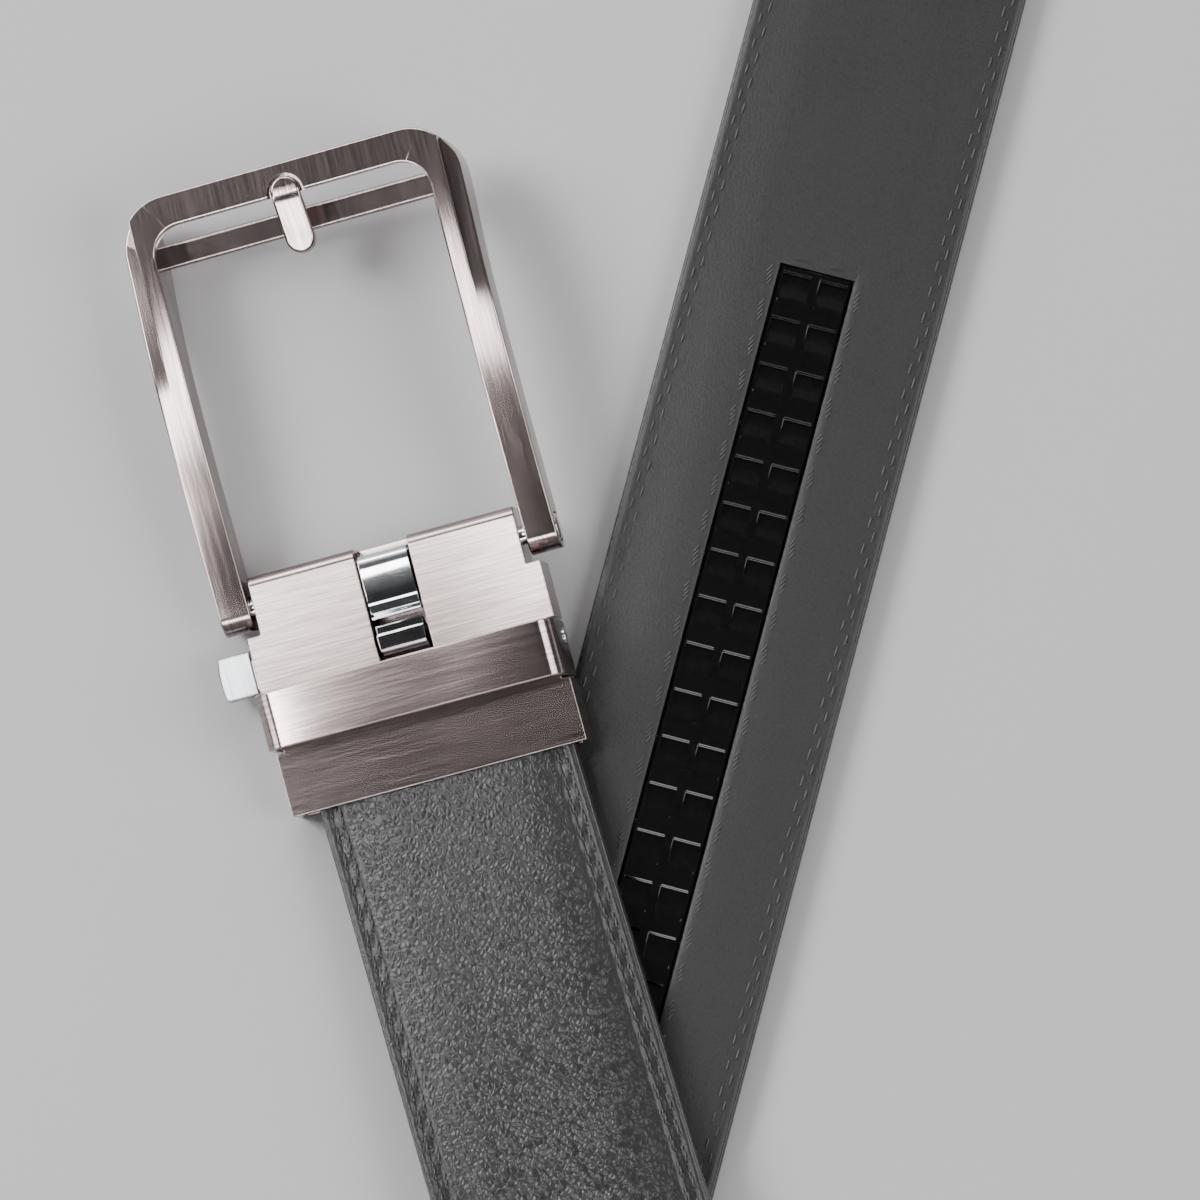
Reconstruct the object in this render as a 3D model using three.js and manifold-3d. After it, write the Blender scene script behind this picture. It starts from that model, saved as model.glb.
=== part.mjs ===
// A ratchet belt, lying on a flat surface with its strap crossed over itself.
// Millimetres, +Z up. The origin is on the surface, where the two stretches of strap cross.
// +Y runs along the buckle towards the far end of its frame, and +X to the buckle's right.

import * as THREE from 'three';
import { mergeVertices } from 'three/addons/utils/BufferGeometryUtils.js';
import Module from 'manifold-3d';

const wasm = await Module();
wasm.setup();

// Strap
const STRAP_LENGTH = 1150;
const STRAP_WIDTH = 35;
const STRAP_THICKNESS = 3.6;
const LEATHER_INNER = 0.1;
const LINING_INNER = 0.2;
const EDGE_BEVEL = 0.6;
const EDGE_DROP = 0.5;
const TIP_LENGTH = 14;
const TIP_NARROWING = 0.55;

// The strap's course over the surface, in degrees clockwise from +Y and in millimetres
const HEADING_OUT = 178.1;
const HEADING_BACK = 389.2;
const CLAMP_TO_CROSSING = 65;
const CROSSING_TO_TIP = 208.2;

// Ratchet track
const TRACK_WIDTH = 9.5;
const TRACK_TOP = 1.6;
const TRACK_POCKET_FLOOR = 0.6;
const TRACK_RIB = 1.5;
const TRACK_PITCH = 6.35;
const TRACK_POCKET_LENGTH = 3.6;
const TRACK_ROWS = 40;
const TRACK_START_FROM_CROSSING = 126;
const GAP = 0.3;

// Clamp body, in the buckle's own axes: x across, y along, z out of its front face
const PLATE_HALF = 20.1;
const PLATE_LENGTH = 32;
const PLATE_THICKNESS = 1.2;
const CLAMP_DEPTH = 7;
const NECK_HALF = 18.2;
const NECK_START = 24.15;
const NECK_INNER_HALF = 17.1;
const SLEEVE_HALF = 19;
const SLEEVE_LENGTH = 8.4;
const SLEEVE_BACK = 5.4;
const HOLE_CLEARANCE = 0.25;
const TOP_WALL = 1.1;
const TOP_ROLL_RADIUS = 1.5;
const PAWL_SLOT_HALF = 3.65;
const PAWL_SLOT_START = 15;
const COVER_INNER = 5.8;

// Keeper band
const KEEPER_START = 8.7;
const KEEPER_END = 16.2;
const KEEPER_HALF = 20.3;
const KEEPER_THICKNESS = 1.1;
const KEEPER_CLEARANCE = 5;
const KEEPER_BEND_RADIUS = 2.4;
const KEEPER_FOOT = -5.5;
const KEEPER_SEAT_HALF = 19;

// Pawl, its shaft and the release lever
const SHAFT_Y = 14;
const SHAFT_Z = -3.45;
const SHAFT_RADIUS = 1.1;
const HUB_RADIUS = 2;
const PAWL_HALF = 3.15;
const LEVER_NEAR = 16.8;
const LEVER_FAR = 22.7;
const LEVER_OUTER = 25.3;
const LEVER_BULGE = 0.35;
const LEVER_TOP = -1.9;
const LEVER_BOTTOM = -4.1;
const LEVER_WALL = 20.5;
const LEVER_NECK_NEAR = 17.5;
const LEVER_NECK_FAR = 21.4;
const LEVER_NECK_TOP = -2.1;
const LEVER_NECK_BOTTOM = -3.9;
const LEVER_EYE_THICKNESS = 1.4;
const EYE_ARM_HALF = 1.7;
const WINDOW_CLEARANCE = 0.35;
const WINDOW_BOTTOM = -6.25;

// Side outlines (y, z) of the guide and of the pawl beyond its hub
const GUIDE_OUTLINE = [
  [22.2, -5.5], [30.6, -5.5], [30.85, -1.6], [30.5, -0.5], [29.7, -0.05], [28.4, 0.12], [27.1, 0.02],
  [25.8, -0.28], [24.7, -0.68], [24.4, -0.12], [22.95, -0.4], [22.75, -1.2], [22.5, -0.25], [22.2, -0.25],
];
const PAWL_OUTLINE = [
  [14, -5.05], [17.6, -4.4], [21.2, -2.4], [21.2, 0], [20, 0], [19.9, 0.8], [17.7, 0.8], [17.5, -0.9],
  [14, -1.85],
];

// Frame
const ARM_INNER = 18.9;
const ARM_OUTER = 23.1;
const FRAME_END = 83.5;
const FRAME_CORNER = 6.8;
const OPENING_END = 79.25;
const OPENING_CORNER = 4;
const HINGE_Y = 28.1;
const HINGE_Z = -3.2;
const ARM_EYE_RADIUS = 2.9;
const ARM_CROWN = 2.2;
const CROWN_CENTRE = 60;
const FRONT_LAYER_HALF = 21.2;
const FRONT_LAYER_THICKNESS = 1.8;
const LEDGE_START = 57;
const LEDGE_FULL = 80;
const LEDGE_DROP = 2.4;
const REAR_BAR_START = 74.7;
const REAR_BAR_END = 77.9;
const REAR_BAR_DEPTH = 7.9;
const REAR_BAR_THICKNESS = 1.8;
const PIN_RADIUS = 1.3;
const PIN_HEAD_RADIUS = 1.8;
const PIN_HEAD_SEAT = 1.2;

// Prong stub
const NOTCH_HALF = 2.5;
const NOTCH_END = 82;
const NOTCH_FLOOR = -0.4;
const PRONG_HALF = 1.95;
const PRONG_NEAR = 71.5;
const PRONG_FAR = 81.65;
const PRONG_OUTLINE = [
  [82.15, -0.1], [82.15, 1], [79.4, 1.1], [78.6, 0.95], [71, -1.6], [71, -3.1], [76.6, -1.5], [78.8, -0.1],
];

// Where the buckle lies
const BUCKLE_PLACE = new THREE.Vector3(-3, 57.75, 9.1);
const BUCKLE_ROLL = -6;
const FRAME_LIFT = 2.6;

const rad = THREE.MathUtils.degToRad;
const smooth = (t) => THREE.MathUtils.smoothstep(t, 0, 1);

// Solids and booleans

function solidOf(geometry) {
  const bare = geometry.index ? geometry.toNonIndexed() : geometry.clone();
  bare.deleteAttribute('normal');
  bare.deleteAttribute('uv');
  const merged = mergeVertices(bare, 1e-5);
  const mesh = new wasm.Mesh({
    numProp: 3,
    vertProperties: new Float32Array(merged.attributes.position.array),
    triVerts: new Uint32Array(merged.index.array),
  });
  return new wasm.Manifold(mesh);
}

function geometryOf(solid) {
  const mesh = solid.getMesh();
  const geometry = new THREE.BufferGeometry();
  geometry.setAttribute('position', new THREE.BufferAttribute(new Float32Array(mesh.vertProperties), 3));
  geometry.setIndex(new THREE.BufferAttribute(new Uint32Array(mesh.triVerts), 1));
  return geometry;
}

function boxSolid(x0, x1, y0, y1, z0, z1) {
  const box = new THREE.BoxGeometry(x1 - x0, y1 - y0, z1 - z0);
  box.translate((x0 + x1) / 2, (y0 + y1) / 2, (z0 + z1) / 2);
  return solidOf(box);
}

/** An outline seen from the front (x, y), carried from z0 to z1. */
function frontSolid(shape, z0, z1, curveSegments = 8) {
  const slab = new THREE.ExtrudeGeometry(shape, { depth: z1 - z0, bevelEnabled: false, curveSegments });
  slab.translate(0, 0, z0);
  return solidOf(slab);
}

/** An outline seen from the side (y, z), carried from x0 to x1. */
function sideSolid(shape, x0, x1, curveSegments = 8) {
  const slab = new THREE.ExtrudeGeometry(shape, { depth: x1 - x0, bevelEnabled: false, curveSegments });
  const turn = new THREE.Matrix4().makeBasis(
    new THREE.Vector3(0, 1, 0),
    new THREE.Vector3(0, 0, 1),
    new THREE.Vector3(1, 0, 0),
  );
  slab.applyMatrix4(turn);
  slab.translate(x0, 0, 0);
  return solidOf(slab);
}

/** An outline seen along the buckle (x, z), carried from y0 to y1. */
function endSolid(shape, y0, y1, curveSegments = 8) {
  const slab = new THREE.ExtrudeGeometry(shape, { depth: y1 - y0, bevelEnabled: false, curveSegments });
  const turn = new THREE.Matrix4().makeBasis(
    new THREE.Vector3(1, 0, 0),
    new THREE.Vector3(0, 0, 1),
    new THREE.Vector3(0, -1, 0),
  );
  slab.applyMatrix4(turn);
  slab.translate(0, y1, 0);
  return solidOf(slab);
}

/** A round rod along x. */
function rodSolid(radius, x0, x1, y, z, sides = 20) {
  const rod = new THREE.CylinderGeometry(radius, radius, x1 - x0, sides);
  rod.rotateZ(Math.PI / 2);
  rod.translate((x0 + x1) / 2, y, z);
  return solidOf(rod);
}

function polygon(points) {
  return new THREE.Shape(points.map(([a, b]) => new THREE.Vector2(a, b)));
}

/** A rectangle with round corners at its far end, and square ones at its near end. */
function roundEndedPanel(half, near, far, corner) {
  const shape = new THREE.Shape();
  shape.moveTo(-half, near);
  shape.lineTo(half, near);
  shape.lineTo(half, far - corner);
  shape.absarc(half - corner, far - corner, corner, 0, Math.PI / 2, false);
  shape.lineTo(-half + corner, far);
  shape.absarc(-half + corner, far - corner, corner, Math.PI / 2, Math.PI, false);
  shape.lineTo(-half, near);
  return shape;
}

// The strap's course

const HALF_ANGLE = rad((HEADING_BACK - HEADING_OUT - 180) / 2);
const LOOP_LENGTH = STRAP_LENGTH - CLAMP_TO_CROSSING - CROSSING_TO_TIP;
const LEG = LOOP_LENGTH / (2 + Math.tan(HALF_ANGLE) * (Math.PI + 2 * HALF_ANGLE));
const LOOP_RADIUS = LEG * Math.tan(HALF_ANGLE);
const FIRST_CROSSING = CLAMP_TO_CROSSING;
const ARC_START = FIRST_CROSSING + LEG;
const SECOND_CROSSING = STRAP_LENGTH - CROSSING_TO_TIP;
const ARC_END = SECOND_CROSSING - LEG;
const OVERLAP_REACH = STRAP_WIDTH / 2 / Math.sin(HALF_ANGLE) + 1;
const SLEEVE_REACH = 9;

// How the strap is held along its course: roll in degrees from front side up, lift of its lower edge
const HOLD = [
  { at: 0, roll: -6, lift: 2.25 },
  { at: SLEEVE_REACH, roll: -6, lift: 2.25 },
  { at: FIRST_CROSSING, roll: 0, lift: 4.4 },
  { at: FIRST_CROSSING + OVERLAP_REACH, roll: 0, lift: 4.3 },
  { at: ARC_START, roll: 90, lift: 0 },
  { at: ARC_END, roll: 90, lift: 0 },
  { at: SECOND_CROSSING - OVERLAP_REACH, roll: 180, lift: 0 },
  { at: STRAP_LENGTH, roll: 180, lift: 0 },
];

function holdAt(s) {
  const next = Math.max(1, HOLD.findIndex((row, i) => i > 0 && s <= row.at));
  const a = HOLD[next - 1];
  const b = HOLD[next];
  const t = smooth((s - a.at) / (b.at - a.at));
  return {
    roll: rad(THREE.MathUtils.lerp(a.roll, b.roll, t)),
    lift: THREE.MathUtils.lerp(a.lift, b.lift, t),
  };
}

function directionOf(heading) {
  return new THREE.Vector3(Math.sin(heading), Math.cos(heading), 0);
}

function leftOf(heading) {
  return new THREE.Vector3(-Math.cos(heading), Math.sin(heading), 0);
}

/** The course's point on the surface and its heading, at a length s from the end in the clamp. */
function courseAt(s) {
  const out = rad(HEADING_OUT);
  const back = rad(HEADING_BACK);
  if (s <= ARC_START) {
    return { point: directionOf(out).multiplyScalar(s - FIRST_CROSSING), heading: out };
  }
  if (s >= ARC_END) {
    return { point: directionOf(back).multiplyScalar(s - SECOND_CROSSING), heading: back };
  }
  const heading = out + (s - ARC_START) / LOOP_RADIUS;
  const centre = directionOf(out).multiplyScalar(LEG).addScaledVector(leftOf(out), -LOOP_RADIUS);
  return { point: centre.addScaledVector(leftOf(heading), LOOP_RADIUS), heading };
}

/** A point of the strap: s along it, u across it, v out of its front side. */
function strapPoint(s, u, v) {
  const { point, heading } = courseAt(s);
  const { roll, lift } = holdAt(s);
  const up = new THREE.Vector3(0, 0, 1);
  const normal = up.clone().multiplyScalar(Math.cos(roll)).addScaledVector(leftOf(heading), Math.sin(roll));
  const across = normal.clone().cross(directionOf(heading));
  const reachOfWidth = (STRAP_WIDTH / 2) * Math.abs(Math.sin(roll));
  const reachOfThickness = (STRAP_THICKNESS / 2) * Math.abs(Math.cos(roll));
  point.z = reachOfWidth + reachOfThickness + lift;
  const fromTip = Math.min(1, (STRAP_LENGTH - s) / TIP_LENGTH);
  const narrow = 1 - TIP_NARROWING * (1 - fromTip) ** 2;
  return point.addScaledVector(across, u * narrow).addScaledVector(normal, v);
}

function spread(from, to, count) {
  return Array.from({ length: count }, (_, i) => THREE.MathUtils.lerp(from, to, i / count));
}

const TRACK_START = SECOND_CROSSING + TRACK_START_FROM_CROSSING;
const TRACK_END = TRACK_START - TRACK_ROWS * TRACK_PITCH;

function stations() {
  const flatStart = SECOND_CROSSING - OVERLAP_REACH;
  return [
    0,
    ...spread(SLEEVE_REACH, FIRST_CROSSING, 5),
    ...spread(FIRST_CROSSING, FIRST_CROSSING + OVERLAP_REACH, 1),
    ...spread(FIRST_CROSSING + OVERLAP_REACH, ARC_START, 16),
    ...spread(ARC_START, ARC_END, 22),
    ...spread(ARC_END, TRACK_END - GAP, 12),
    ...spread(TRACK_END - GAP, flatStart, 6),
    ...spread(flatStart, TRACK_START + GAP, 2),
    ...spread(TRACK_START + GAP, STRAP_LENGTH - TIP_LENGTH, 1),
    ...spread(STRAP_LENGTH - TIP_LENGTH, STRAP_LENGTH, 5),
    STRAP_LENGTH,
  ];
}

/**
 * A plate made of cells between lines across and along the strap. Each cell has a height over the
 * strap's middle, or null where it is open. side is 1 for the front side and -1 for the back.
 */
function strapPlate({ across, along, base, heightOf, dropOf, levels, side }) {
  const positions = [];
  const corner = (i, j, height) => strapPoint(along[j], across[i], side * height);
  const addQuad = (a, b, c, d) => {
    const order = side > 0 ? [a, b, c, a, c, d] : [a, c, b, a, d, c];
    order.forEach((p) => positions.push(p.x, p.y, p.z));
  };
  const heightAt = (i, j) => {
    const outside = i < 0 || j < 0 || i >= across.length - 1 || j >= along.length - 1;
    const height = outside ? null : heightOf(i, j);
    return height === null ? base : height;
  };
  const bandsBetween = (low, high) => {
    const marks = [low, ...levels.filter((level) => level > low && level < high), high];
    return marks.slice(1).map((mark, k) => [marks[k], mark]);
  };
  const lowered = (i, height) => (height === base ? base : height - dropOf(i));
  const addWall = (i0, j0, i1, j1, low, high) => {
    bandsBetween(low, high).forEach(([a, b]) => addQuad(
      corner(i0, j0, lowered(i0, a)),
      corner(i1, j1, lowered(i1, a)),
      corner(i1, j1, lowered(i1, b)),
      corner(i0, j0, lowered(i0, b)),
    ));
  };
  for (let i = 0; i < across.length - 1; i += 1) {
    for (let j = 0; j < along.length - 1; j += 1) {
      const height = heightAt(i, j);
      if (height === base) {
        continue;
      }
      addQuad(
        corner(i, j, lowered(i, height)),
        corner(i, j + 1, lowered(i, height)),
        corner(i + 1, j + 1, lowered(i + 1, height)),
        corner(i + 1, j, lowered(i + 1, height)),
      );
      addQuad(corner(i, j, base), corner(i + 1, j, base), corner(i + 1, j + 1, base), corner(i, j + 1, base));
      const neighbours = [
        { low: heightAt(i + 1, j), ends: [i + 1, j + 1, i + 1, j] },
        { low: heightAt(i - 1, j), ends: [i, j, i, j + 1] },
        { low: heightAt(i, j + 1), ends: [i, j + 1, i + 1, j + 1] },
        { low: heightAt(i, j - 1), ends: [i + 1, j, i, j] },
      ];
      neighbours.filter(({ low }) => low < height).forEach(({ low, ends }) => addWall(...ends, low, height));
    }
  }
  const geometry = new THREE.BufferGeometry();
  geometry.setAttribute('position', new THREE.Float32BufferAttribute(positions, 3));
  return mergeVertices(geometry, 1e-4);
}

const HALF_WIDTH = STRAP_WIDTH / 2;
const BEVEL_START = HALF_WIDTH - EDGE_BEVEL;
const SLOT_HALF = TRACK_WIDTH / 2 + GAP;
const ACROSS_STRAP = [-HALF_WIDTH, -BEVEL_START, -SLOT_HALF, SLOT_HALF, BEVEL_START, HALF_WIDTH];
const edgeDrop = (i) => (i === 0 || i === ACROSS_STRAP.length - 1 ? EDGE_DROP : 0);

function frontLeather() {
  return strapPlate({
    across: ACROSS_STRAP,
    along: stations(),
    base: LEATHER_INNER,
    heightOf: () => STRAP_THICKNESS / 2,
    dropOf: edgeDrop,
    levels: [],
    side: 1,
  });
}

function backLining() {
  const along = stations();
  const middle = (i) => ACROSS_STRAP[i] === -SLOT_HALF;
  const inSlot = (j) => along[j] >= TRACK_END - GAP - 1e-6 && along[j + 1] <= TRACK_START + GAP + 1e-6;
  return strapPlate({
    across: ACROSS_STRAP,
    along,
    base: LINING_INNER,
    heightOf: (i, j) => (middle(i) && inSlot(j) ? null : STRAP_THICKNESS / 2),
    dropOf: edgeDrop,
    levels: [],
    side: -1,
  });
}

/** Rows of two pockets with a rib between them, and a full band after each row. */
function ratchetTrack() {
  const across = [-TRACK_WIDTH / 2, -TRACK_RIB / 2, TRACK_RIB / 2, TRACK_WIDTH / 2];
  const along = [TRACK_END];
  const band = TRACK_PITCH - TRACK_POCKET_LENGTH;
  for (let row = 0; row < TRACK_ROWS; row += 1) {
    const start = TRACK_END + row * TRACK_PITCH;
    along.push(start + band, start + TRACK_PITCH);
  }
  along[along.length - 1] -= TRACK_RIB / 4;
  along.push(TRACK_START);
  const pocketRow = (j) => j % 2 === 1;
  const pocketColumn = (i) => i !== 1;
  return strapPlate({
    across,
    along,
    base: LINING_INNER,
    heightOf: (i, j) => (pocketRow(j) && pocketColumn(i) ? TRACK_POCKET_FLOOR : TRACK_TOP),
    dropOf: () => 0,
    levels: [TRACK_POCKET_FLOOR],
    side: -1,
  });
}

// Clamp

function clampBody() {
  const outline = polygon([
    [-PLATE_HALF, 0],
    [PLATE_HALF, 0],
    [PLATE_HALF, KEEPER_START - GAP],
    [KEEPER_SEAT_HALF, KEEPER_START - GAP],
    [KEEPER_SEAT_HALF, KEEPER_END + GAP],
    [PLATE_HALF, KEEPER_END + GAP],
    [PLATE_HALF, NECK_START],
    [NECK_HALF, NECK_START],
    [NECK_HALF, PLATE_LENGTH],
    [-NECK_HALF, PLATE_LENGTH],
    [-NECK_HALF, NECK_START],
    [-PLATE_HALF, NECK_START],
    [-PLATE_HALF, KEEPER_END + GAP],
    [-KEEPER_SEAT_HALF, KEEPER_END + GAP],
    [-KEEPER_SEAT_HALF, KEEPER_START - GAP],
    [-PLATE_HALF, KEEPER_START - GAP],
  ]);
  const profile = new THREE.Shape();
  profile.moveTo(-1, -CLAMP_DEPTH);
  profile.lineTo(PLATE_LENGTH, -CLAMP_DEPTH);
  profile.lineTo(PLATE_LENGTH, -TOP_ROLL_RADIUS);
  profile.absarc(PLATE_LENGTH - TOP_ROLL_RADIUS, -TOP_ROLL_RADIUS, TOP_ROLL_RADIUS, 0, Math.PI / 2, false);
  profile.lineTo(-1, 0);
  profile.lineTo(-1, -CLAMP_DEPTH);
  const under = -PLATE_THICKNESS;
  const beyond = PLATE_HALF + 1;
  const innerEnd = PLATE_LENGTH - TOP_WALL;
  const sleeve = boxSolid(-SLEEVE_HALF, SLEEVE_HALF, -1, SLEEVE_LENGTH + 0.1, -SLEEVE_BACK, under);
  const inside = boxSolid(
    -NECK_INNER_HALF, NECK_INNER_HALF, SLEEVE_LENGTH, innerEnd, -CLAMP_DEPTH - 1, under,
  );
  const slot = boxSolid(
    -PAWL_SLOT_HALF, PAWL_SLOT_HALF, PAWL_SLOT_START, PLATE_LENGTH + 1, -CLAMP_DEPTH + 2, 1,
  );
  const window = boxSolid(
    -beyond, -NECK_INNER_HALF + 1,
    LEVER_NECK_NEAR - WINDOW_CLEARANCE, LEVER_NECK_FAR + WINDOW_CLEARANCE,
    WINDOW_BOTTOM, LEVER_NECK_TOP + WINDOW_CLEARANCE,
  );
  const shaftHole = rodSolid(SHAFT_RADIUS + HOLE_CLEARANCE, -beyond, beyond, SHAFT_Y, SHAFT_Z);
  const pinHole = rodSolid(PIN_RADIUS + HOLE_CLEARANCE, -beyond, beyond, HINGE_Y, HINGE_Z);
  return frontSolid(outline, -CLAMP_DEPTH, 0)
    .intersect(sideSolid(profile, -beyond, beyond))
    .subtract(sleeve)
    .subtract(inside)
    .subtract(slot)
    .subtract(window)
    .subtract(shaftHole)
    .subtract(pinHole);
}

function clampBackCover() {
  const half = NECK_INNER_HALF - GAP;
  const near = SLEEVE_LENGTH + GAP;
  const far = PLATE_LENGTH - TOP_WALL - GAP;
  return boxSolid(-half, half, near, far, -CLAMP_DEPTH, -COVER_INNER);
}

/** A flat band bent down at both ends, whose legs run down the sides of the clamp. */
function keeperBand() {
  const top = KEEPER_CLEARANCE + KEEPER_THICKNESS;
  const inner = KEEPER_HALF - KEEPER_THICKNESS + 0.1;
  const outerRadius = KEEPER_BEND_RADIUS;
  const innerRadius = KEEPER_BEND_RADIUS - KEEPER_THICKNESS;
  const shape = new THREE.Shape();
  shape.moveTo(KEEPER_HALF, KEEPER_FOOT);
  shape.lineTo(KEEPER_HALF, top - outerRadius);
  shape.absarc(KEEPER_HALF - outerRadius, top - outerRadius, outerRadius, 0, Math.PI / 2, false);
  shape.lineTo(-KEEPER_HALF + outerRadius, top);
  shape.absarc(-KEEPER_HALF + outerRadius, top - outerRadius, outerRadius, Math.PI / 2, Math.PI, false);
  shape.lineTo(-KEEPER_HALF, KEEPER_FOOT);
  shape.lineTo(-inner, KEEPER_FOOT);
  shape.lineTo(-inner, KEEPER_CLEARANCE - innerRadius);
  shape.absarc(-inner + innerRadius, KEEPER_CLEARANCE - innerRadius, innerRadius, Math.PI, Math.PI / 2, true);
  shape.lineTo(inner - innerRadius, KEEPER_CLEARANCE);
  shape.absarc(inner - innerRadius, KEEPER_CLEARANCE - innerRadius, innerRadius, Math.PI / 2, 0, true);
  shape.lineTo(inner, KEEPER_FOOT);
  shape.lineTo(KEEPER_HALF, KEEPER_FOOT);
  const hole = rodSolid(SHAFT_RADIUS + HOLE_CLEARANCE, -KEEPER_HALF - 1, KEEPER_HALF + 1, SHAFT_Y, SHAFT_Z);
  return endSolid(shape, KEEPER_START, KEEPER_END).subtract(hole);
}

/** A polished guide with a lip, a step and a round back, fixed in the slot. */
function pawlGuide() {
  const half = PAWL_SLOT_HALF - GAP;
  return sideSolid(polygon(GUIDE_OUTLINE), -half, half);
}

/** A rod on the shaft's axis with the shaft's hole through it. */
function hubWith(outline, x0, x1) {
  const hub = rodSolid(HUB_RADIUS, x0, x1, SHAFT_Y, SHAFT_Z);
  const bore = rodSolid(SHAFT_RADIUS + HOLE_CLEARANCE, x0 - 1, x1 + 1, SHAFT_Y, SHAFT_Z);
  return sideSolid(outline, x0, x1).add(hub).subtract(bore);
}

function pawl() {
  return hubWith(polygon(PAWL_OUTLINE), -PAWL_HALF, PAWL_HALF);
}

function pawlShaft() {
  return rodSolid(SHAFT_RADIUS, -KEEPER_HALF - 0.1, KEEPER_HALF + 0.2, SHAFT_Y, SHAFT_Z);
}

/** An eye on the shaft, a neck through the side wall and a tab outside it. */
function releaseLever() {
  const eyeOuter = NECK_INNER_HALF - GAP;
  const eyeInner = eyeOuter - LEVER_EYE_THICKNESS;
  const corner = LEVER_OUTER - LEVER_BULGE;
  const tab = new THREE.Shape();
  tab.moveTo(-LEVER_WALL, LEVER_NEAR);
  tab.lineTo(-LEVER_WALL, LEVER_FAR);
  tab.lineTo(-corner, LEVER_FAR);
  tab.quadraticCurveTo(-LEVER_OUTER - LEVER_BULGE, (LEVER_NEAR + LEVER_FAR) / 2, -corner, LEVER_NEAR);
  tab.lineTo(-LEVER_WALL, LEVER_NEAR);
  const eyeArm = polygon([
    [SHAFT_Y, SHAFT_Z - EYE_ARM_HALF],
    [LEVER_NECK_FAR, LEVER_NECK_BOTTOM],
    [LEVER_NECK_FAR, LEVER_NECK_TOP],
    [SHAFT_Y, SHAFT_Z + EYE_ARM_HALF],
  ]);
  const neck = boxSolid(
    -LEVER_WALL - 0.5, -eyeInner, LEVER_NECK_NEAR, LEVER_NECK_FAR, LEVER_NECK_BOTTOM, LEVER_NECK_TOP,
  );
  return frontSolid(tab, LEVER_BOTTOM, LEVER_TOP).add(neck).add(hubWith(eyeArm, -eyeOuter, -eyeInner));
}

// Frame

/** The height of the frame's front face along the buckle. */
function frontAt(y) {
  const base = HINGE_Z + ARM_EYE_RADIUS;
  return base + ARM_CROWN * (1 - ((y - CROWN_CENTRE) / (CROWN_CENTRE - HINGE_Y)) ** 2);
}

function ledgeAt(y) {
  return frontAt(y) - LEDGE_DROP * smooth((y - LEDGE_START) / (LEDGE_FULL - LEDGE_START));
}

function yStations(from, to, count) {
  return [...spread(from, to, count), to];
}

// The arm's back edge, from the far end to the hinge
const ARM_BACK = [
  { y: FRAME_END, back: -5 },
  { y: 80.5, back: -7.8 },
  { y: 77.5, back: -8.5 },
  { y: 74, back: -8.2 },
  { y: 69, back: -6.3 },
  { y: 60, back: -4.5 },
  { y: 48, back: -4.5 },
  { y: 36, back: -5.4 },
  { y: HINGE_Y, back: HINGE_Z - ARM_EYE_RADIUS },
];

function armOutline() {
  const front = [
    ...yStations(HINGE_Y, LEDGE_START, 8),
    ...yStations(LEDGE_START, LEDGE_FULL, 8).slice(1),
    FRAME_END,
  ].map((y) => [y, ledgeAt(y)]);
  const curve = new THREE.SplineCurve(ARM_BACK.map(({ y, back }) => new THREE.Vector2(y, back)));
  const back = curve.getPoints(18).map((p) => [p.x, p.y]);
  const eye = yStations(-90, -270, 8).slice(1, -1).map((angle) => [
    HINGE_Y + ARM_EYE_RADIUS * Math.cos(rad(angle)),
    HINGE_Z + ARM_EYE_RADIUS * Math.sin(rad(angle)),
  ]);
  return polygon([...front, ...back, ...eye]);
}

function frontLayer() {
  const steps = yStations(LEDGE_START, FRAME_END, 10);
  const top = steps.map((y) => [y, frontAt(y)]);
  const under = steps.map((y) => [y, frontAt(y) - FRONT_LAYER_THICKNESS]).reverse();
  const opening = roundEndedPanel(ARM_INNER, LEDGE_START - 5, OPENING_END, OPENING_CORNER);
  return sideSolid(polygon([...top, ...under]), -FRONT_LAYER_HALF, FRONT_LAYER_HALF)
    .subtract(frontSolid(opening, -10, 10, 6));
}

function rearBar() {
  const front = frontAt((REAR_BAR_START + REAR_BAR_END) / 2) - REAR_BAR_DEPTH;
  const back = front - REAR_BAR_THICKNESS;
  const cut = 0.4;
  const shape = polygon([
    [REAR_BAR_START, back],
    [REAR_BAR_END, back],
    [REAR_BAR_END, front - cut],
    [REAR_BAR_END - cut, front],
    [REAR_BAR_START + cut, front],
    [REAR_BAR_START, front - cut],
  ]);
  return sideSolid(shape, -ARM_INNER - 0.4, ARM_INNER + 0.4);
}

function notchSolid() {
  const shape = roundEndedPanel(NOTCH_HALF, OPENING_END - 5, NOTCH_END, NOTCH_HALF - 0.01);
  return frontSolid(shape, NOTCH_FLOOR, 10);
}

/** A rod on the hinge's axis, from one distance off the middle to another, on the side 1 or -1. */
function hingeRod(radius, near, far, side) {
  const [x0, x1] = side > 0 ? [near, far] : [-far, -near];
  return rodSolid(radius, x0, x1, HINGE_Y, HINGE_Z);
}

function pinHoleSolid(side) {
  return hingeRod(PIN_RADIUS + GAP, ARM_INNER - 1, ARM_OUTER + 1, side)
    .add(hingeRod(PIN_HEAD_RADIUS + GAP, ARM_OUTER - PIN_HEAD_SEAT, ARM_OUTER + 1, side));
}

function buckleFrame() {
  const outline = roundEndedPanel(ARM_OUTER, 20, FRAME_END, FRAME_CORNER);
  const arm = armOutline();
  return sideSolid(arm, ARM_INNER, ARM_OUTER + 1)
    .add(sideSolid(arm, -ARM_OUTER - 1, -ARM_INNER))
    .add(frontLayer())
    .intersect(frontSolid(outline, -20, 20))
    .add(rearBar())
    .subtract(notchSolid())
    .subtract(pinHoleSolid(1))
    .subtract(pinHoleSolid(-1));
}

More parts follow.
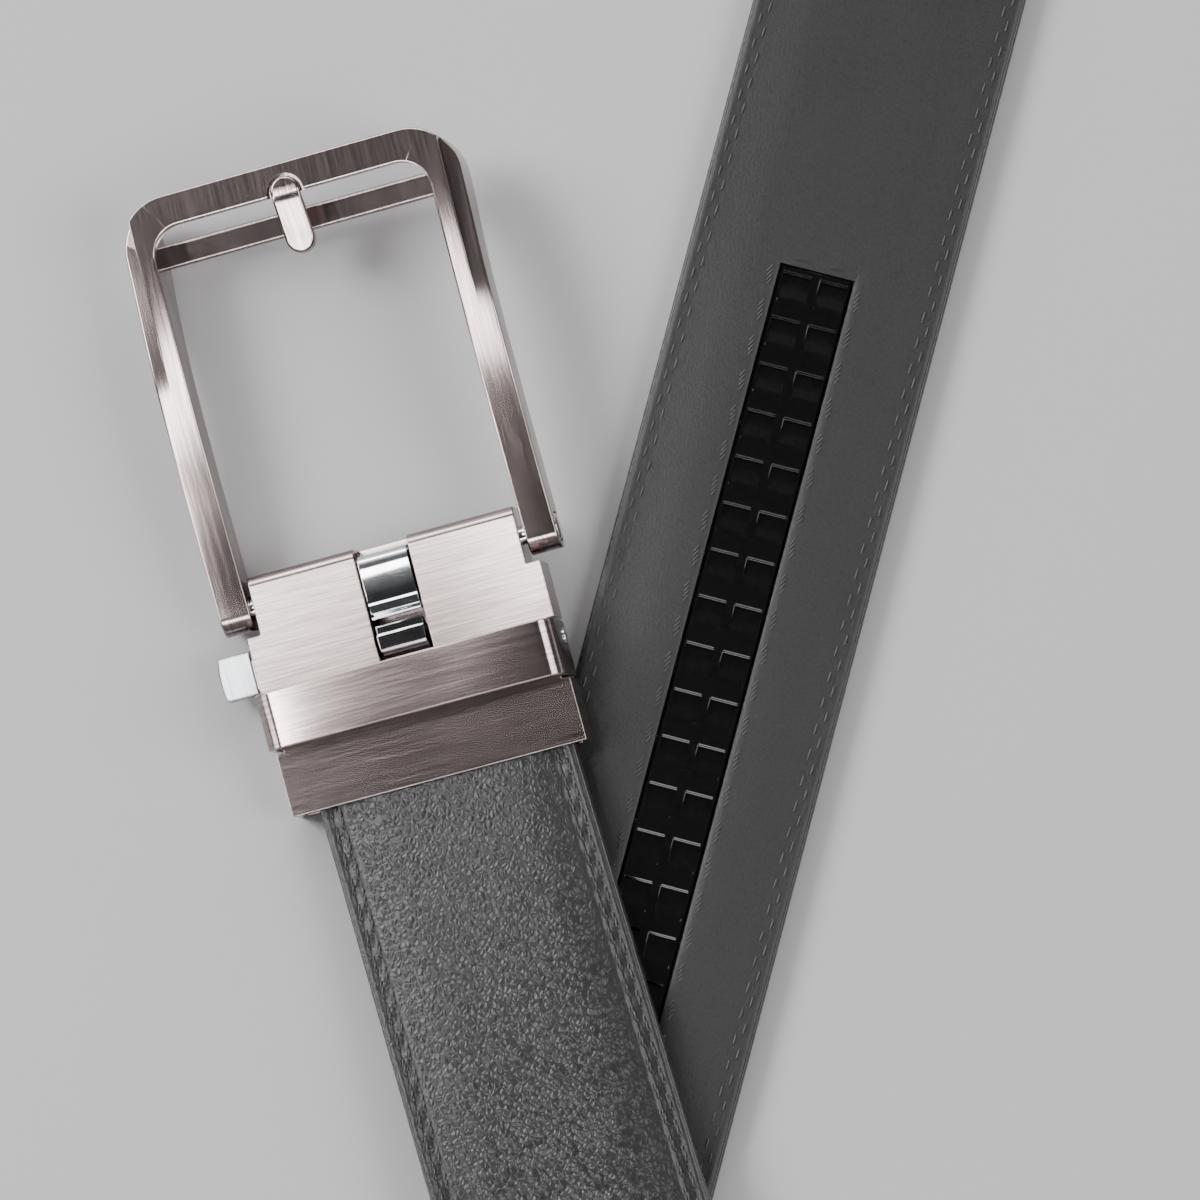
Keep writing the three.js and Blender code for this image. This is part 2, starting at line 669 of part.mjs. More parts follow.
/** A round-ended prong: flat in the notch, then bent down towards the opening. */
function prongStub() {
  const outline = new THREE.Shape();
  outline.absarc(0, PRONG_FAR - PRONG_HALF, PRONG_HALF, 0, Math.PI, false);
  outline.absarc(0, PRONG_NEAR + PRONG_HALF, PRONG_HALF, Math.PI, 2 * Math.PI, false);
  return sideSolid(polygon(PRONG_OUTLINE), -PRONG_HALF - 1, PRONG_HALF + 1)
    .intersect(frontSolid(outline, -10, 10));
}

/** A riveted pin through the clamp's side wall and one arm. */
function hingePin(side) {
  const rivet = NECK_INNER_HALF - GAP;
  return hingeRod(PIN_RADIUS, rivet - 0.5, ARM_OUTER, side)
    .add(hingeRod(PIN_HEAD_RADIUS, rivet - 0.8, rivet, side))
    .add(hingeRod(PIN_HEAD_RADIUS, ARM_OUTER - PIN_HEAD_SEAT + GAP, ARM_OUTER + GAP, side));
}

// Materials

const LOOKS = {
  leather: { color: 0x3a3a3b, roughness: 0.6, metalness: 0 },
  lining: { color: 0x3c3c3d, roughness: 0.7, metalness: 0 },
  track: { color: 0x0b0b0c, roughness: 0.4, metalness: 0 },
  gunmetal: { color: 0x8f807e, roughness: 0.35, metalness: 1 },
  chrome: { color: 0xc4c6c8, roughness: 0.12, metalness: 1 },
};

function named(name, shape, look) {
  const geometry = shape.isBufferGeometry ? shape : geometryOf(shape);
  geometry.computeVertexNormals();
  const mesh = new THREE.Mesh(geometry, new THREE.MeshStandardMaterial(LOOKS[look]));
  mesh.name = name;
  return mesh;
}

// Assembly

function swingingFrame() {
  const swing = new THREE.Group();
  swing.position.set(0, HINGE_Y, HINGE_Z);
  swing.rotation.x = rad(FRAME_LIFT);
  const pieces = [
    named('buckle_frame', buckleFrame(), 'gunmetal'),
    named('prong_stub', prongStub(), 'gunmetal'),
  ];
  pieces.forEach((piece) => piece.geometry.translate(0, -HINGE_Y, -HINGE_Z));
  swing.add(...pieces);
  return swing;
}

function buckle() {
  const group = new THREE.Group();
  group.position.copy(BUCKLE_PLACE);
  group.rotation.y = rad(BUCKLE_ROLL);
  group.add(
    named('clamp_body', clampBody(), 'gunmetal'),
    named('clamp_back_cover', clampBackCover(), 'gunmetal'),
    named('keeper_band', keeperBand(), 'gunmetal'),
    named('pawl_guide', pawlGuide(), 'chrome'),
    named('hinge_pin_left', hingePin(-1), 'chrome'),
    named('hinge_pin_right', hingePin(1), 'chrome'),
    named('pawl', pawl(), 'chrome'),
    named('pawl_shaft', pawlShaft(), 'chrome'),
    named('release_lever', releaseLever(), 'chrome'),
    swingingFrame(),
  );
  return group;
}

const belt = new THREE.Group();
belt.add(
  named('strap_front_leather', frontLeather(), 'leather'),
  named('strap_back_lining', backLining(), 'lining'),
  named('ratchet_track', ratchetTrack(), 'track'),
  buckle(),
);

export default belt;
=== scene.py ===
"""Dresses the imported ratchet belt: leather, thread, plastic and brushed metal, with camera and light."""
import math

import bmesh
import bpy
import numpy as np
from mathutils import Matrix, Vector


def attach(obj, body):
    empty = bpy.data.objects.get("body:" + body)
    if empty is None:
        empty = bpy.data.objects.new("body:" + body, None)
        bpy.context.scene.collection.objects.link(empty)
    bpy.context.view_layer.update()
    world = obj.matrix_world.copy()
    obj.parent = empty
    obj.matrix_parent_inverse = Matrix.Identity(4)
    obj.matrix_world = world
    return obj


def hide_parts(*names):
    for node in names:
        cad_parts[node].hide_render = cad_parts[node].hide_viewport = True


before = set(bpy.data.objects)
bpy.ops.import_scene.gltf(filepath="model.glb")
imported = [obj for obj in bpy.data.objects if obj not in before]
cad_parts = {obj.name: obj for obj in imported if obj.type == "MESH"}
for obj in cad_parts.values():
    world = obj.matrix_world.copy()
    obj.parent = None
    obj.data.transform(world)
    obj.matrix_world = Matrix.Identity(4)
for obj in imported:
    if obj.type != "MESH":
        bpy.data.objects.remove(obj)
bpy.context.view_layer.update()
MM = 0.001

# The strap's course, in millimetres and degrees, as in the part's source
STRAP_LENGTH = 1150.0
HALF_WIDTH = 17.5
HALF_THICKNESS = 1.8
TIP_LENGTH = 14.0
TIP_NARROWING = 0.55
HEADING_OUT = math.radians(178.1)
HEADING_BACK = math.radians(389.2)
FIRST_CROSSING = 65.0
CROSSING_TO_TIP = 208.2
HALF_ANGLE = (HEADING_BACK - HEADING_OUT - math.pi) / 2
LOOP_LENGTH = STRAP_LENGTH - FIRST_CROSSING - CROSSING_TO_TIP
LEG = LOOP_LENGTH / (2 + math.tan(HALF_ANGLE) * (math.pi + 2 * HALF_ANGLE))
LOOP_RADIUS = LEG * math.tan(HALF_ANGLE)
ARC_START = FIRST_CROSSING + LEG
SECOND_CROSSING = STRAP_LENGTH - CROSSING_TO_TIP
ARC_END = SECOND_CROSSING - LEG
OVERLAP_REACH = HALF_WIDTH / math.sin(HALF_ANGLE) + 1
HOLD = np.array([
    (0, -6, 2.25),
    (9, -6, 2.25),
    (FIRST_CROSSING, 0, 4.4),
    (FIRST_CROSSING + OVERLAP_REACH, 0, 4.3),
    (ARC_START, 90, 0),
    (ARC_END, 90, 0),
    (SECOND_CROSSING - OVERLAP_REACH, 180, 0),
    (STRAP_LENGTH, 180, 0),
])
STITCH_PITCH = 3.5
ROW_OUTER, ROW_INNER = 15.95, 14.85
FRONT_ROWS = ((ROW_OUTER, 0.0), (ROW_INNER, 0.5))
LINING_ROWS = ((15.9, 0.0), (15.0, 0.5))
TRACK_PITCH = 6.35
TRACK_ROWS = 40
TRACK_START = SECOND_CROSSING + 126
TRACK_END = TRACK_START - TRACK_ROWS * TRACK_PITCH
TRACK_HALF = 4.75
GAP = 0.3
SLOT_HALF = TRACK_HALF + GAP

# The buckle, in its own axes, as in the part's source
BUCKLE_PLACE = Vector((-3, 57.75, 9.1))
BUCKLE_ROLL = math.radians(-6)
FRAME_LIFT = math.radians(2.6)
HINGE_Y = 28.1
HINGE_Z = -3.2
SHAFT_Y = 14.0
SHAFT_Z = -3.45
SHAFT_RADIUS = 1.1
HUB_RADIUS = 2.0
ARM_INNER = 18.9
ARM_OUTER = 23.1
EYE_RADIUS = 2.9
FRAME_END = 83.5
FRAME_CORNER = 6.8
OPENING_END = 79.25
LEDGE_START = 57
LAYER_HALF = 21.2
LAYER_THICKNESS = 1.8


def smooth(t):
    t = np.clip(t, 0.0, 1.0)
    return t * t * (3 - 2 * t)


def direction(heading):
    return np.stack([np.sin(heading), np.cos(heading), np.zeros_like(heading)], -1)


def left_of(heading):
    return np.stack([-np.cos(heading), np.sin(heading), np.zeros_like(heading)], -1)


def strap_world(s, u, v, narrowed=True):
    """Points of the strap in metres: s along it, u across it, v out of its front side, in millimetres."""
    s, u, v = np.broadcast_arrays(np.asarray(s, float), np.asarray(u, float), np.asarray(v, float))
    heading = np.clip((s - ARC_START) / LOOP_RADIUS, 0, (ARC_END - ARC_START) / LOOP_RADIUS) + HEADING_OUT
    out, back = np.array([HEADING_OUT]), np.array([HEADING_BACK])
    centre = direction(out)[0] * LEG - left_of(out)[0] * LOOP_RADIUS
    point = centre + left_of(heading) * LOOP_RADIUS
    point = np.where((s <= ARC_START)[..., None], direction(out)[0] * (s - FIRST_CROSSING)[..., None], point)
    point = np.where((s >= ARC_END)[..., None], direction(back)[0] * (s - SECOND_CROSSING)[..., None], point)
    row = np.clip(np.searchsorted(HOLD[:, 0], s, side="left"), 1, len(HOLD) - 1)
    a, b = HOLD[row - 1], HOLD[row]
    t = smooth((s - a[..., 0]) / (b[..., 0] - a[..., 0]))
    roll = np.radians(a[..., 1] + (b[..., 1] - a[..., 1]) * t)
    lift = a[..., 2] + (b[..., 2] - a[..., 2]) * t
    up = np.array([0.0, 0.0, 1.0])
    normal = up * np.cos(roll)[..., None] + left_of(heading) * np.sin(roll)[..., None]
    across = np.cross(normal, direction(heading))
    height = HALF_WIDTH * np.abs(np.sin(roll)) + HALF_THICKNESS * np.abs(np.cos(roll)) + lift
    point = point + up * height[..., None]
    if narrowed:
        u = u * tip_narrowing(s)
    return (point + across * u[..., None] + normal * v[..., None]) * MM


def tip_narrowing(s):
    from_tip = np.minimum(1.0, (STRAP_LENGTH - s) / TIP_LENGTH)
    return 1 - TIP_NARROWING * (1 - from_tip) ** 2


# Making and dressing pieces


def mesh_of(name, verts, faces, uv=None):
    """A mesh of points and faces; uv is one pair a point."""
    mesh = bpy.data.meshes.new(name)
    mesh.from_pydata([tuple(p) for p in np.asarray(verts)], [], [list(map(int, f)) for f in faces])
    if uv is not None:
        layer = mesh.uv_layers.new(name="strap")
        index = np.empty(len(mesh.loops), np.int32)
        mesh.loops.foreach_get("vertex_index", index)
        layer.data.foreach_set("uv", np.asarray(uv, np.float32)[index].ravel())
    return mesh


def tidy(mesh, distance=None):
    """The mesh with its normals outwards; points closer than the distance are merged first."""
    bm = bmesh.new()
    bm.from_mesh(mesh)
    if distance is not None:
        bmesh.ops.remove_doubles(bm, verts=bm.verts, dist=distance)
        bmesh.ops.dissolve_degenerate(bm, edges=bm.edges, dist=distance)
    bmesh.ops.recalc_face_normals(bm, faces=bm.faces)
    bm.to_mesh(mesh)
    bm.free()
    return mesh


def piece(name, mesh, material, body, nodes=(), sharp=35, weighted=False):
    """The mesh as a visible piece on a body, standing for the named nodes."""
    mesh.name = name
    mesh.materials.clear()
    mesh.materials.append(material)
    mesh.shade_smooth()
    if sharp:
        mesh.set_sharp_from_angle(angle=math.radians(sharp))
    obj = bpy.data.objects.new(name, mesh)
    bpy.context.scene.collection.objects.link(obj)
    if weighted:
        modifier = obj.modifiers.new("weighted", "WEIGHTED_NORMAL")
        modifier.keep_sharp = True
        modifier.weight = 80
    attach(obj, body)
    if nodes:
        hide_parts(*nodes)


def grid_faces(rows, cols, closed_cols=False, skip=None):
    faces = []
    for i in range(rows - 1):
        for j in range(cols if closed_cols else cols - 1):
            if skip is not None and skip(i, j):
                continue
            a, b = i * cols + j, i * cols + (j + 1) % cols
            c, d = (i + 1) * cols + (j + 1) % cols, (i + 1) * cols + j
            faces.append((a, b, c, d))
    return faces


def tube_mesh(name, points, uv=None, distance=1e-7, skip=None, extra=()):
    """A closed section, one row of points a station, carried from end to end and capped."""
    rows, cols = points.shape[:2]
    faces = grid_faces(rows, cols, closed_cols=True, skip=skip)
    faces += [tuple(range(cols)), tuple(range((rows - 1) * cols, rows * cols))[::-1], *extra]
    return tidy(mesh_of(name, points.reshape(-1, 3), faces, uv), distance)


# Materials


class Graph:
    """A material's node tree, with short calls."""

    def __init__(self, name):
        self.material = bpy.data.materials.new(name)
        self.material.use_nodes = True
        self.tree = self.material.node_tree
        self.shader = self.tree.nodes["Principled BSDF"]

    def node(self, kind, inputs=None, **settings):
        made = self.tree.nodes.new(kind)
        for key, value in settings.items():
            setattr(made, key, value)
        for key, value in (inputs or {}).items():
            if isinstance(value, bpy.types.NodeSocket):
                self.tree.links.new(value, made.inputs[key])
            else:
                made.inputs[key].default_value = value
        return made

    def link(self, socket, key):
        self.tree.links.new(socket, self.shader.inputs[key])

    def set(self, **values):
        for key, value in values.items():
            self.shader.inputs[key.replace("_", " ")].default_value = value

    def ramp(self, socket, *stops):
        made = self.node("ShaderNodeValToRGB", {"Fac": socket})
        elements = made.color_ramp.elements
        while len(elements) < len(stops):
            elements.new(0.5)
        for element, (place, value) in zip(elements, stops):
            element.position = place
            colour = value if isinstance(value, tuple) else (value,) * 3
            element.color = (*colour, 1)
        return made.outputs["Color"]

    def smoothstep(self, value, start, end, low=0.0, high=1.0):
        return self.node(
            "ShaderNodeMapRange",
            {"Value": value, "From Min": start, "From Max": end, "To Min": low, "To Max": high},
            interpolation_type="SMOOTHSTEP",
        ).outputs["Result"]

    def scaled(self, vector, scale, rotation=(0, 0, 0)):
        return self.node(
            "ShaderNodeMapping", {"Vector": vector, "Scale": scale, "Rotation": rotation}
        ).outputs["Vector"]

    def noise(self, vector, scale=1.0, detail=2.0, roughness=0.5):
        return self.node(
            "ShaderNodeTexNoise", {"Vector": vector, "Scale": scale, "Detail": detail, "Roughness": roughness}
        ).outputs["Fac"]

    def voronoi(self, vector, feature="F1"):
        return self.node(
            "ShaderNodeTexVoronoi", {"Vector": vector, "Scale": 1.0}, feature=feature
        ).outputs["Distance"]

    def math(self, operation, a, b=None, c=None, clamp=False):
        made = self.node("ShaderNodeMath", operation=operation, use_clamp=clamp)
        for k, value in enumerate((a, b, c)):
            if value is None:
                continue
            if isinstance(value, bpy.types.NodeSocket):
                self.tree.links.new(value, made.inputs[k])
            else:
                made.inputs[k].default_value = value
        return made.outputs[0]

    def bump(self, height, strength, distance, normal=None):
        made = self.node("ShaderNodeBump", {"Height": height, "Strength": strength, "Distance": distance})
        if normal is not None:
            self.tree.links.new(normal, made.inputs["Normal"])
        return made.outputs["Normal"]

    def object_mm(self):
        """Coordinates in millimetres in the buckle's own axes."""
        coordinates = self.node("ShaderNodeTexCoord").outputs["Object"]
        return self.node(
            "ShaderNodeMapping",
            {
                "Vector": coordinates,
                "Location": tuple(BUCKLE_PLACE * MM),
                "Rotation": (0, BUCKLE_ROLL, 0),
                "Scale": (MM, MM, MM),
            },
            vector_type="TEXTURE",
        ).outputs["Vector"]

    def strap_mm(self):
        """(across, along) coordinates in millimetres, from the piece's own map."""
        return self.node("ShaderNodeUVMap", uv_map="strap").outputs["UV"]


def brushed_metal(name, along, colour, roughness):
    """Metal brushed along one of the buckle's axes: 0 for x, 1 for y."""
    g = Graph(name)
    place = g.object_mm()

    def streaks(across_scale, along_scale, height_scale, detail):
        scale = [across_scale, across_scale, height_scale]
        scale[along] = along_scale
        return g.noise(g.scaled(place, tuple(scale)), detail=detail)

    hair = streaks(3.6, 0.13, 0.35, 1.5)
    streak = streaks(1.5, 0.05, 0.15, 2.0)
    cloud = g.noise(place, 0.12)
    tint = g.math("ADD", g.math("MULTIPLY", streak, 0.3), g.math("MULTIPLY", hair, 0.7))
    dark = tuple(c * 0.76 for c in colour)
    light = tuple(min(1.0, c * 1.2) for c in colour)
    g.link(g.ramp(tint, (0.36, dark), (0.64, light)), "Base Color")
    rough = g.math("MULTIPLY_ADD", streak, 0.04, roughness - 0.02)
    rough = g.math("MULTIPLY_ADD", cloud, 0.03, g.math("SUBTRACT", rough, 0.015))
    g.link(rough, "Roughness")
    g.link(g.bump(hair, 0.1, 0.000005), "Normal")
    g.set(Metallic=1.0, Anisotropic=0.6)
    tangent = g.node("ShaderNodeTangent", direction_type="RADIAL", axis="XY"[along])
    g.link(tangent.outputs["Tangent"], "Tangent")
    return g.material


def polished_metal():
    g = Graph("polished_steel")
    place = g.object_mm()
    wear = g.noise(g.scaled(place, (6.0, 0.8, 6.0)), 1.0, 4.0, 0.65)
    cloud = g.noise(place, 0.5, 3.0, 0.5)
    g.link(g.ramp(cloud, (0.3, (0.62, 0.63, 0.65)), (0.7, (0.8, 0.81, 0.83))), "Base Color")
    g.link(g.math("MULTIPLY_ADD", wear, 0.06, 0.05), "Roughness")
    g.link(g.bump(wear, 0.12, 0.00002), "Normal")
    g.set(Metallic=1.0)
    return g.material


def hole_shade_mask(g, across, along, row, phase):
    """1 at the needle holes of a stitch row on either side, falling to 0 around them: the mask of the shade
    painted into the holes.
    """
    reach_along, reach_across = 0.42, 0.34
    place = g.math("FRACT", g.math("MULTIPLY_ADD", along, 1 / STITCH_PITCH, phase))
    down = g.math("MULTIPLY", g.math("SUBTRACT", place, 0.5), STITCH_PITCH / reach_along)
    side = g.math("MULTIPLY", g.math("SUBTRACT", g.math("ABSOLUTE", across), row), 1 / reach_across)
    squares = [g.math("POWER", g.math("ABSOLUTE", distance), 2.0) for distance in (down, side)]
    return g.math("SUBTRACT", 1.0, g.math("ADD", *squares), clamp=True)


def pebbled_leather():
    g = Graph("pebbled_leather")
    uv = g.strap_mm()
    # Round pebbles, longer to one side, fainter towards the right edge and in the stitched margins
    slant = g.scaled(uv, (1.7, 1.25, 1.0), rotation=(0, 0, math.radians(-50)))
    bend = g.noise(g.scaled(uv, (0.8, 0.8, 1)))
    shift = g.node(
        "ShaderNodeCombineXYZ", {"X": g.math("MULTIPLY", bend, 0.9), "Y": g.math("MULTIPLY", bend, -0.7)}
    ).outputs[0]
    warped = g.node("ShaderNodeVectorMath", {0: slant, 1: shift}, operation="ADD").outputs[0]
    dome = g.smoothstep(g.voronoi(warped, "DISTANCE_TO_EDGE"), 0.0, 0.42)
    grain = g.noise(uv, 4.0, 3.0, 0.6)
    separate = g.node("ShaderNodeSeparateXYZ", {"Vector": uv})
    across, along = separate.outputs["X"], separate.outputs["Y"]
    fade = g.smoothstep(across, 3.0, 14.0, 1.0, 0.5)
    margin = g.smoothstep(g.math("ABSOLUTE", across), 13.2, 14.4, 1.0, 0.3)
    patches = g.ramp(g.noise(g.scaled(uv, (0.12, 0.12, 1))), (0.35, 0.85), (0.65, 1.0))
    amount = g.math("MULTIPLY", g.math("MULTIPLY", fade, margin), patches)
    height = g.math("MULTIPLY", dome, amount)
    # Painted shade and light: the colour is darker in the creases between the pebbles and lighter on their
    # domes, weaker where the pebbles fade.
    tone = g.math("MULTIPLY_ADD", g.math("SUBTRACT", dome, 0.6), g.math("MULTIPLY", amount, 0.3), 0.56)
    tone = g.math("MULTIPLY_ADD", grain, 0.2, g.math("SUBTRACT", tone, 0.1))
    # Painted shade: the leather is darker round the needle holes of the front stitch rows.
    holes = [hole_shade_mask(g, across, along, row, phase) for row, phase in FRONT_ROWS]
    tone = g.math("SUBTRACT", tone, g.math("MAXIMUM", *holes))
    g.link(g.ramp(tone, (0.25, (0.0015, 0.0015, 0.0015)), (0.8, (0.032, 0.032, 0.0324))), "Base Color")
    g.link(g.math("MULTIPLY_ADD", grain, 0.1, 0.3), "Roughness")
    normal = g.bump(grain, 0.3, 0.00005)
    g.link(g.bump(height, 1.0, 0.0001, normal), "Normal")
    g.set(Specular_IOR_Level=0.45)
    return g.material


def smooth_lining():
    g = Graph("fine_lining")
    uv = g.strap_mm()
    fine = g.noise(g.scaled(uv, (4.5, 3.0, 1), rotation=(0, 0, 0.4)), 1.0, 3.0, 0.6)
    pores = g.voronoi(g.scaled(uv, (3.6, 2.8, 1)))
    cloud = g.noise(g.scaled(uv, (0.12, 0.06, 1)))
    tone = g.math("ADD", g.math("MULTIPLY", fine, 0.5), g.math("MULTIPLY", cloud, 0.3))
    tone = g.math("MULTIPLY_ADD", pores, -0.4, g.math("ADD", tone, 0.3))
    g.link(g.ramp(tone, (0.25, (0.011, 0.011, 0.0112)), (0.7, (0.023, 0.023, 0.0235))), "Base Color")
    g.link(g.math("MULTIPLY_ADD", fine, 0.12, 0.4), "Roughness")
    height = g.math("ADD", g.math("MULTIPLY", fine, 0.5), g.math("MULTIPLY", pores, -0.6))
    g.link(g.bump(height, 0.4, 0.0001), "Normal")
    g.set(Specular_IOR_Level=0.4)
    return g.material


def painted_edge():
    g = Graph("edge_paint")
    place = g.object_mm()
    ripple = g.noise(g.scaled(place, (0.9, 0.9, 0.9)), 1.0, 3.0, 0.5)
    g.link(g.ramp(ripple, (0.3, (0.022, 0.02, 0.02)), (0.7, (0.036, 0.033, 0.032))), "Base Color")
    g.link(g.math("MULTIPLY_ADD", ripple, 0.15, 0.2), "Roughness")
    g.link(g.bump(ripple, 0.3, 0.0001), "Normal")
    return g.material


def thread():
    g = Graph("waxed_thread")
    place = g.object_mm()
    fibre = g.noise(place, 9.0, 3.0, 0.6)
    g.link(g.ramp(fibre, (0.3, (0.022, 0.022, 0.022)), (0.7, (0.065, 0.065, 0.065))), "Base Color")
    g.link(g.math("MULTIPLY_ADD", fibre, 0.2, 0.22), "Roughness")
    g.link(g.bump(fibre, 0.3, 0.00004), "Normal")
    return g.material


def track_plastic():
    g = Graph("black_nylon")
    uv = g.strap_mm()
    mottle = g.noise(uv, 1.2, 4.0, 0.6)
    g.link(g.ramp(mottle, (0.3, (0.0012, 0.0012, 0.0013)), (0.7, (0.0028, 0.0028, 0.003))), "Base Color")
    g.link(g.math("MULTIPLY_ADD", mottle, 0.1, 0.13), "Roughness")
    g.link(g.bump(mottle, 0.1, 0.00003), "Normal")
    g.set(Specular_IOR_Level=0.35)
    return g.material


GUNMETAL = (0.32, 0.262, 0.256)
M_CLAMP = brushed_metal("gunmetal_across", 0, GUNMETAL, 0.18)
M_FRAME = brushed_metal("gunmetal_lengthways", 1, GUNMETAL, 0.17)
M_SILVER = brushed_metal("brushed_silver", 1, (0.42, 0.43, 0.45), 0.3)
M_STEEL = polished_metal()
M_LEATHER = pebbled_leather()
M_LINING = smooth_lining()
M_EDGE = painted_edge()
M_THREAD = thread()
M_TRACK = track_plastic()

# Strap

LEATHER_INNER = 0.1
LINING_INNER = -0.2
LEATHER_EDGE = 17.05
BEAD_HALF = 1.14
along_strap = np.unique(np.concatenate([
    np.arange(0, STRAP_LENGTH + 0.1, STITCH_PITCH / 4),
    [TRACK_END - GAP, TRACK_START + GAP, STRAP_LENGTH],
]))


def front_height(s, u):
    """How far the front leather's face stands over the strap's middle."""
    padding, groove, dimple, fall = 0.5, 0.25, 0.3, 0.12
    a = np.abs(u)
    height = HALF_THICKNESS - padding * smooth((a - 9.0) / 5.5)
    height = height - groove * np.exp(-np.abs((a - (ROW_OUTER + ROW_INNER) / 2) / 0.85) ** 4)
    for row, phase in FRONT_ROWS:
        hole = np.abs((s / STITCH_PITCH + phase) % 1 - 0.5) * STITCH_PITCH
        height = height - dimple * np.exp(-(hole / 0.45) ** 2 - ((a - row) / 0.3) ** 2)
    return height - fall * smooth((a - 16.7) / 0.35)


def back_height(s, u):
    """How far the lining's face stands over the strap's middle, on the back side."""
    padding, dimple, slot_fall, fall = 0.42, 0.06, 0.14, 0.16
    a = np.abs(u)
    height = HALF_THICKNESS - padding * smooth((a - 8.5) / 7.5)
    for row, phase in LINING_ROWS:
        hole = np.abs((s / STITCH_PITCH + phase) % 1 - 0.5) * STITCH_PITCH
        height = height - dimple * np.exp(-(hole / 0.35) ** 2 - ((a - row) / 0.25) ** 2)
    slot_edge = np.where((s > TRACK_END - GAP - 0.5) & (s < TRACK_START + GAP + 0.5), 1.0, 0.0)
    height = height - slot_fall * slot_edge * np.exp(-((a - SLOT_HALF) / 0.35) ** 2)
    return height - fall * smooth((a - 16.6) / 0.4)


def symmetric(values):
    values = sorted(values)
    return np.array([-v for v in reversed(values) if v > 0] + values)


def front_leather():
    across = symmetric([
        0, 2.5, 5, 7, 9, 11, 12.5, 13.6, 14.1, 14.4, 14.62, 14.85, 15.08, 15.4, 15.72, 15.95, 16.18, 16.4,
        16.65, 16.85, LEATHER_EDGE,
    ])
    s = along_strap[:, None]
    top = strap_world(s, across[None], front_height(s, across[None]))
    under_u = np.array([LEATHER_EDGE, 8, 0, -8, -LEATHER_EDGE])
    under = strap_world(s, under_u[None], LEATHER_INNER)
    points = np.concatenate([top, under], 1)
    uv = np.stack(np.broadcast_arrays(np.concatenate([across, under_u])[None], s), -1)
    return tube_mesh("front_leather", points, uv.reshape(-1, 2))


def back_lining():
    across = symmetric([
        0, 2.5, 4.4, SLOT_HALF, 5.3, 5.7, 6.4, 7.5, 9, 10.5, 12, 13.4, 14.3, 14.75, 15, 15.25, 15.6, 15.9,
        16.15, 16.4, 16.7, LEATHER_EDGE,
    ])
    s = along_strap[:, None]
    n = len(across)
    top = strap_world(s, across[None], -back_height(s, across[None]))
    under = strap_world(s, across[::-1][None], LINING_INNER)
    points = np.concatenate([top, under], 1)
    uv = np.stack(np.broadcast_arrays(np.concatenate([across, across[::-1]])[None], s), -1)
    cols = 2 * n
    first = int(np.argmin(np.abs(along_strap - (TRACK_END - GAP))))
    last = int(np.argmin(np.abs(along_strap - (TRACK_START + GAP))))
    left = int(np.argmin(np.abs(across + SLOT_HALF)))
    right = int(np.argmin(np.abs(across - SLOT_HALF)))

    def in_slot(i, j):
        column = j if j < n else 2 * n - 2 - j
        return first <= i < last and j != n - 1 and j != cols - 1 and left <= column < right

    def wall(a, b):
        """The slot's wall between two points of the grid on the back and the two under them."""
        (i, j), (k, m) = a, b
        return (i * cols + j, k * cols + m, k * cols + cols - 1 - m, i * cols + cols - 1 - j)

    walls = [wall((i, j), (i + 1, j)) for i in range(first, last) for j in (left, right)]
    walls += [wall((i, j), (i, j + 1)) for j in range(left, right) for i in (first, last)]
    return tube_mesh("back_lining", points, uv.reshape(-1, 2), skip=in_slot, extra=walls)


def edge_bead():
    """The painted edge: a rounded bead along both sides and round the tip."""
    sides = np.unique(np.concatenate([
        np.arange(0, STRAP_LENGTH - TIP_LENGTH, 2.5),
        np.linspace(STRAP_LENGTH - TIP_LENGTH, STRAP_LENGTH, 25),
    ]))
    inset = 0.42
    edge = (HALF_WIDTH - inset) * tip_narrowing(sides)
    end_half = HALF_WIDTH * tip_narrowing(STRAP_LENGTH) - inset
    sides = np.minimum(sides, STRAP_LENGTH - inset)
    tip_u = np.linspace(-end_half, end_half, 12)[1:-1]
    path_s = np.concatenate([sides, np.full_like(tip_u, STRAP_LENGTH - inset), sides[::-1]])
    path_u = np.concatenate([-edge, tip_u, edge[::-1]])
    tangent = np.stack([np.gradient(path_s), np.gradient(path_u)], -1)
    tangent /= np.linalg.norm(tangent, axis=1)[:, None]
    outward = np.stack([tangent[:, 1], -tangent[:, 0]], -1)
    outward[:, 0] = np.where(np.abs(outward[:, 0]) < 1e-9, 0, outward[:, 0])
    turns = np.radians(np.linspace(-90, 90, 11))
    section = [(inset * math.cos(t) ** 0.7, BEAD_HALF * math.sin(t)) for t in turns]
    section += [(-0.25, BEAD_HALF - 0.1), (-0.25, -BEAD_HALF + 0.1)]
    reach, rise = np.array(section).T
    s = path_s[:, None] + outward[:, :1] * reach
    u = path_u[:, None] + outward[:, 1:] * reach
    return tube_mesh("edge_bead", strap_world(s, u, rise[None] + 0 * s, narrowed=False))


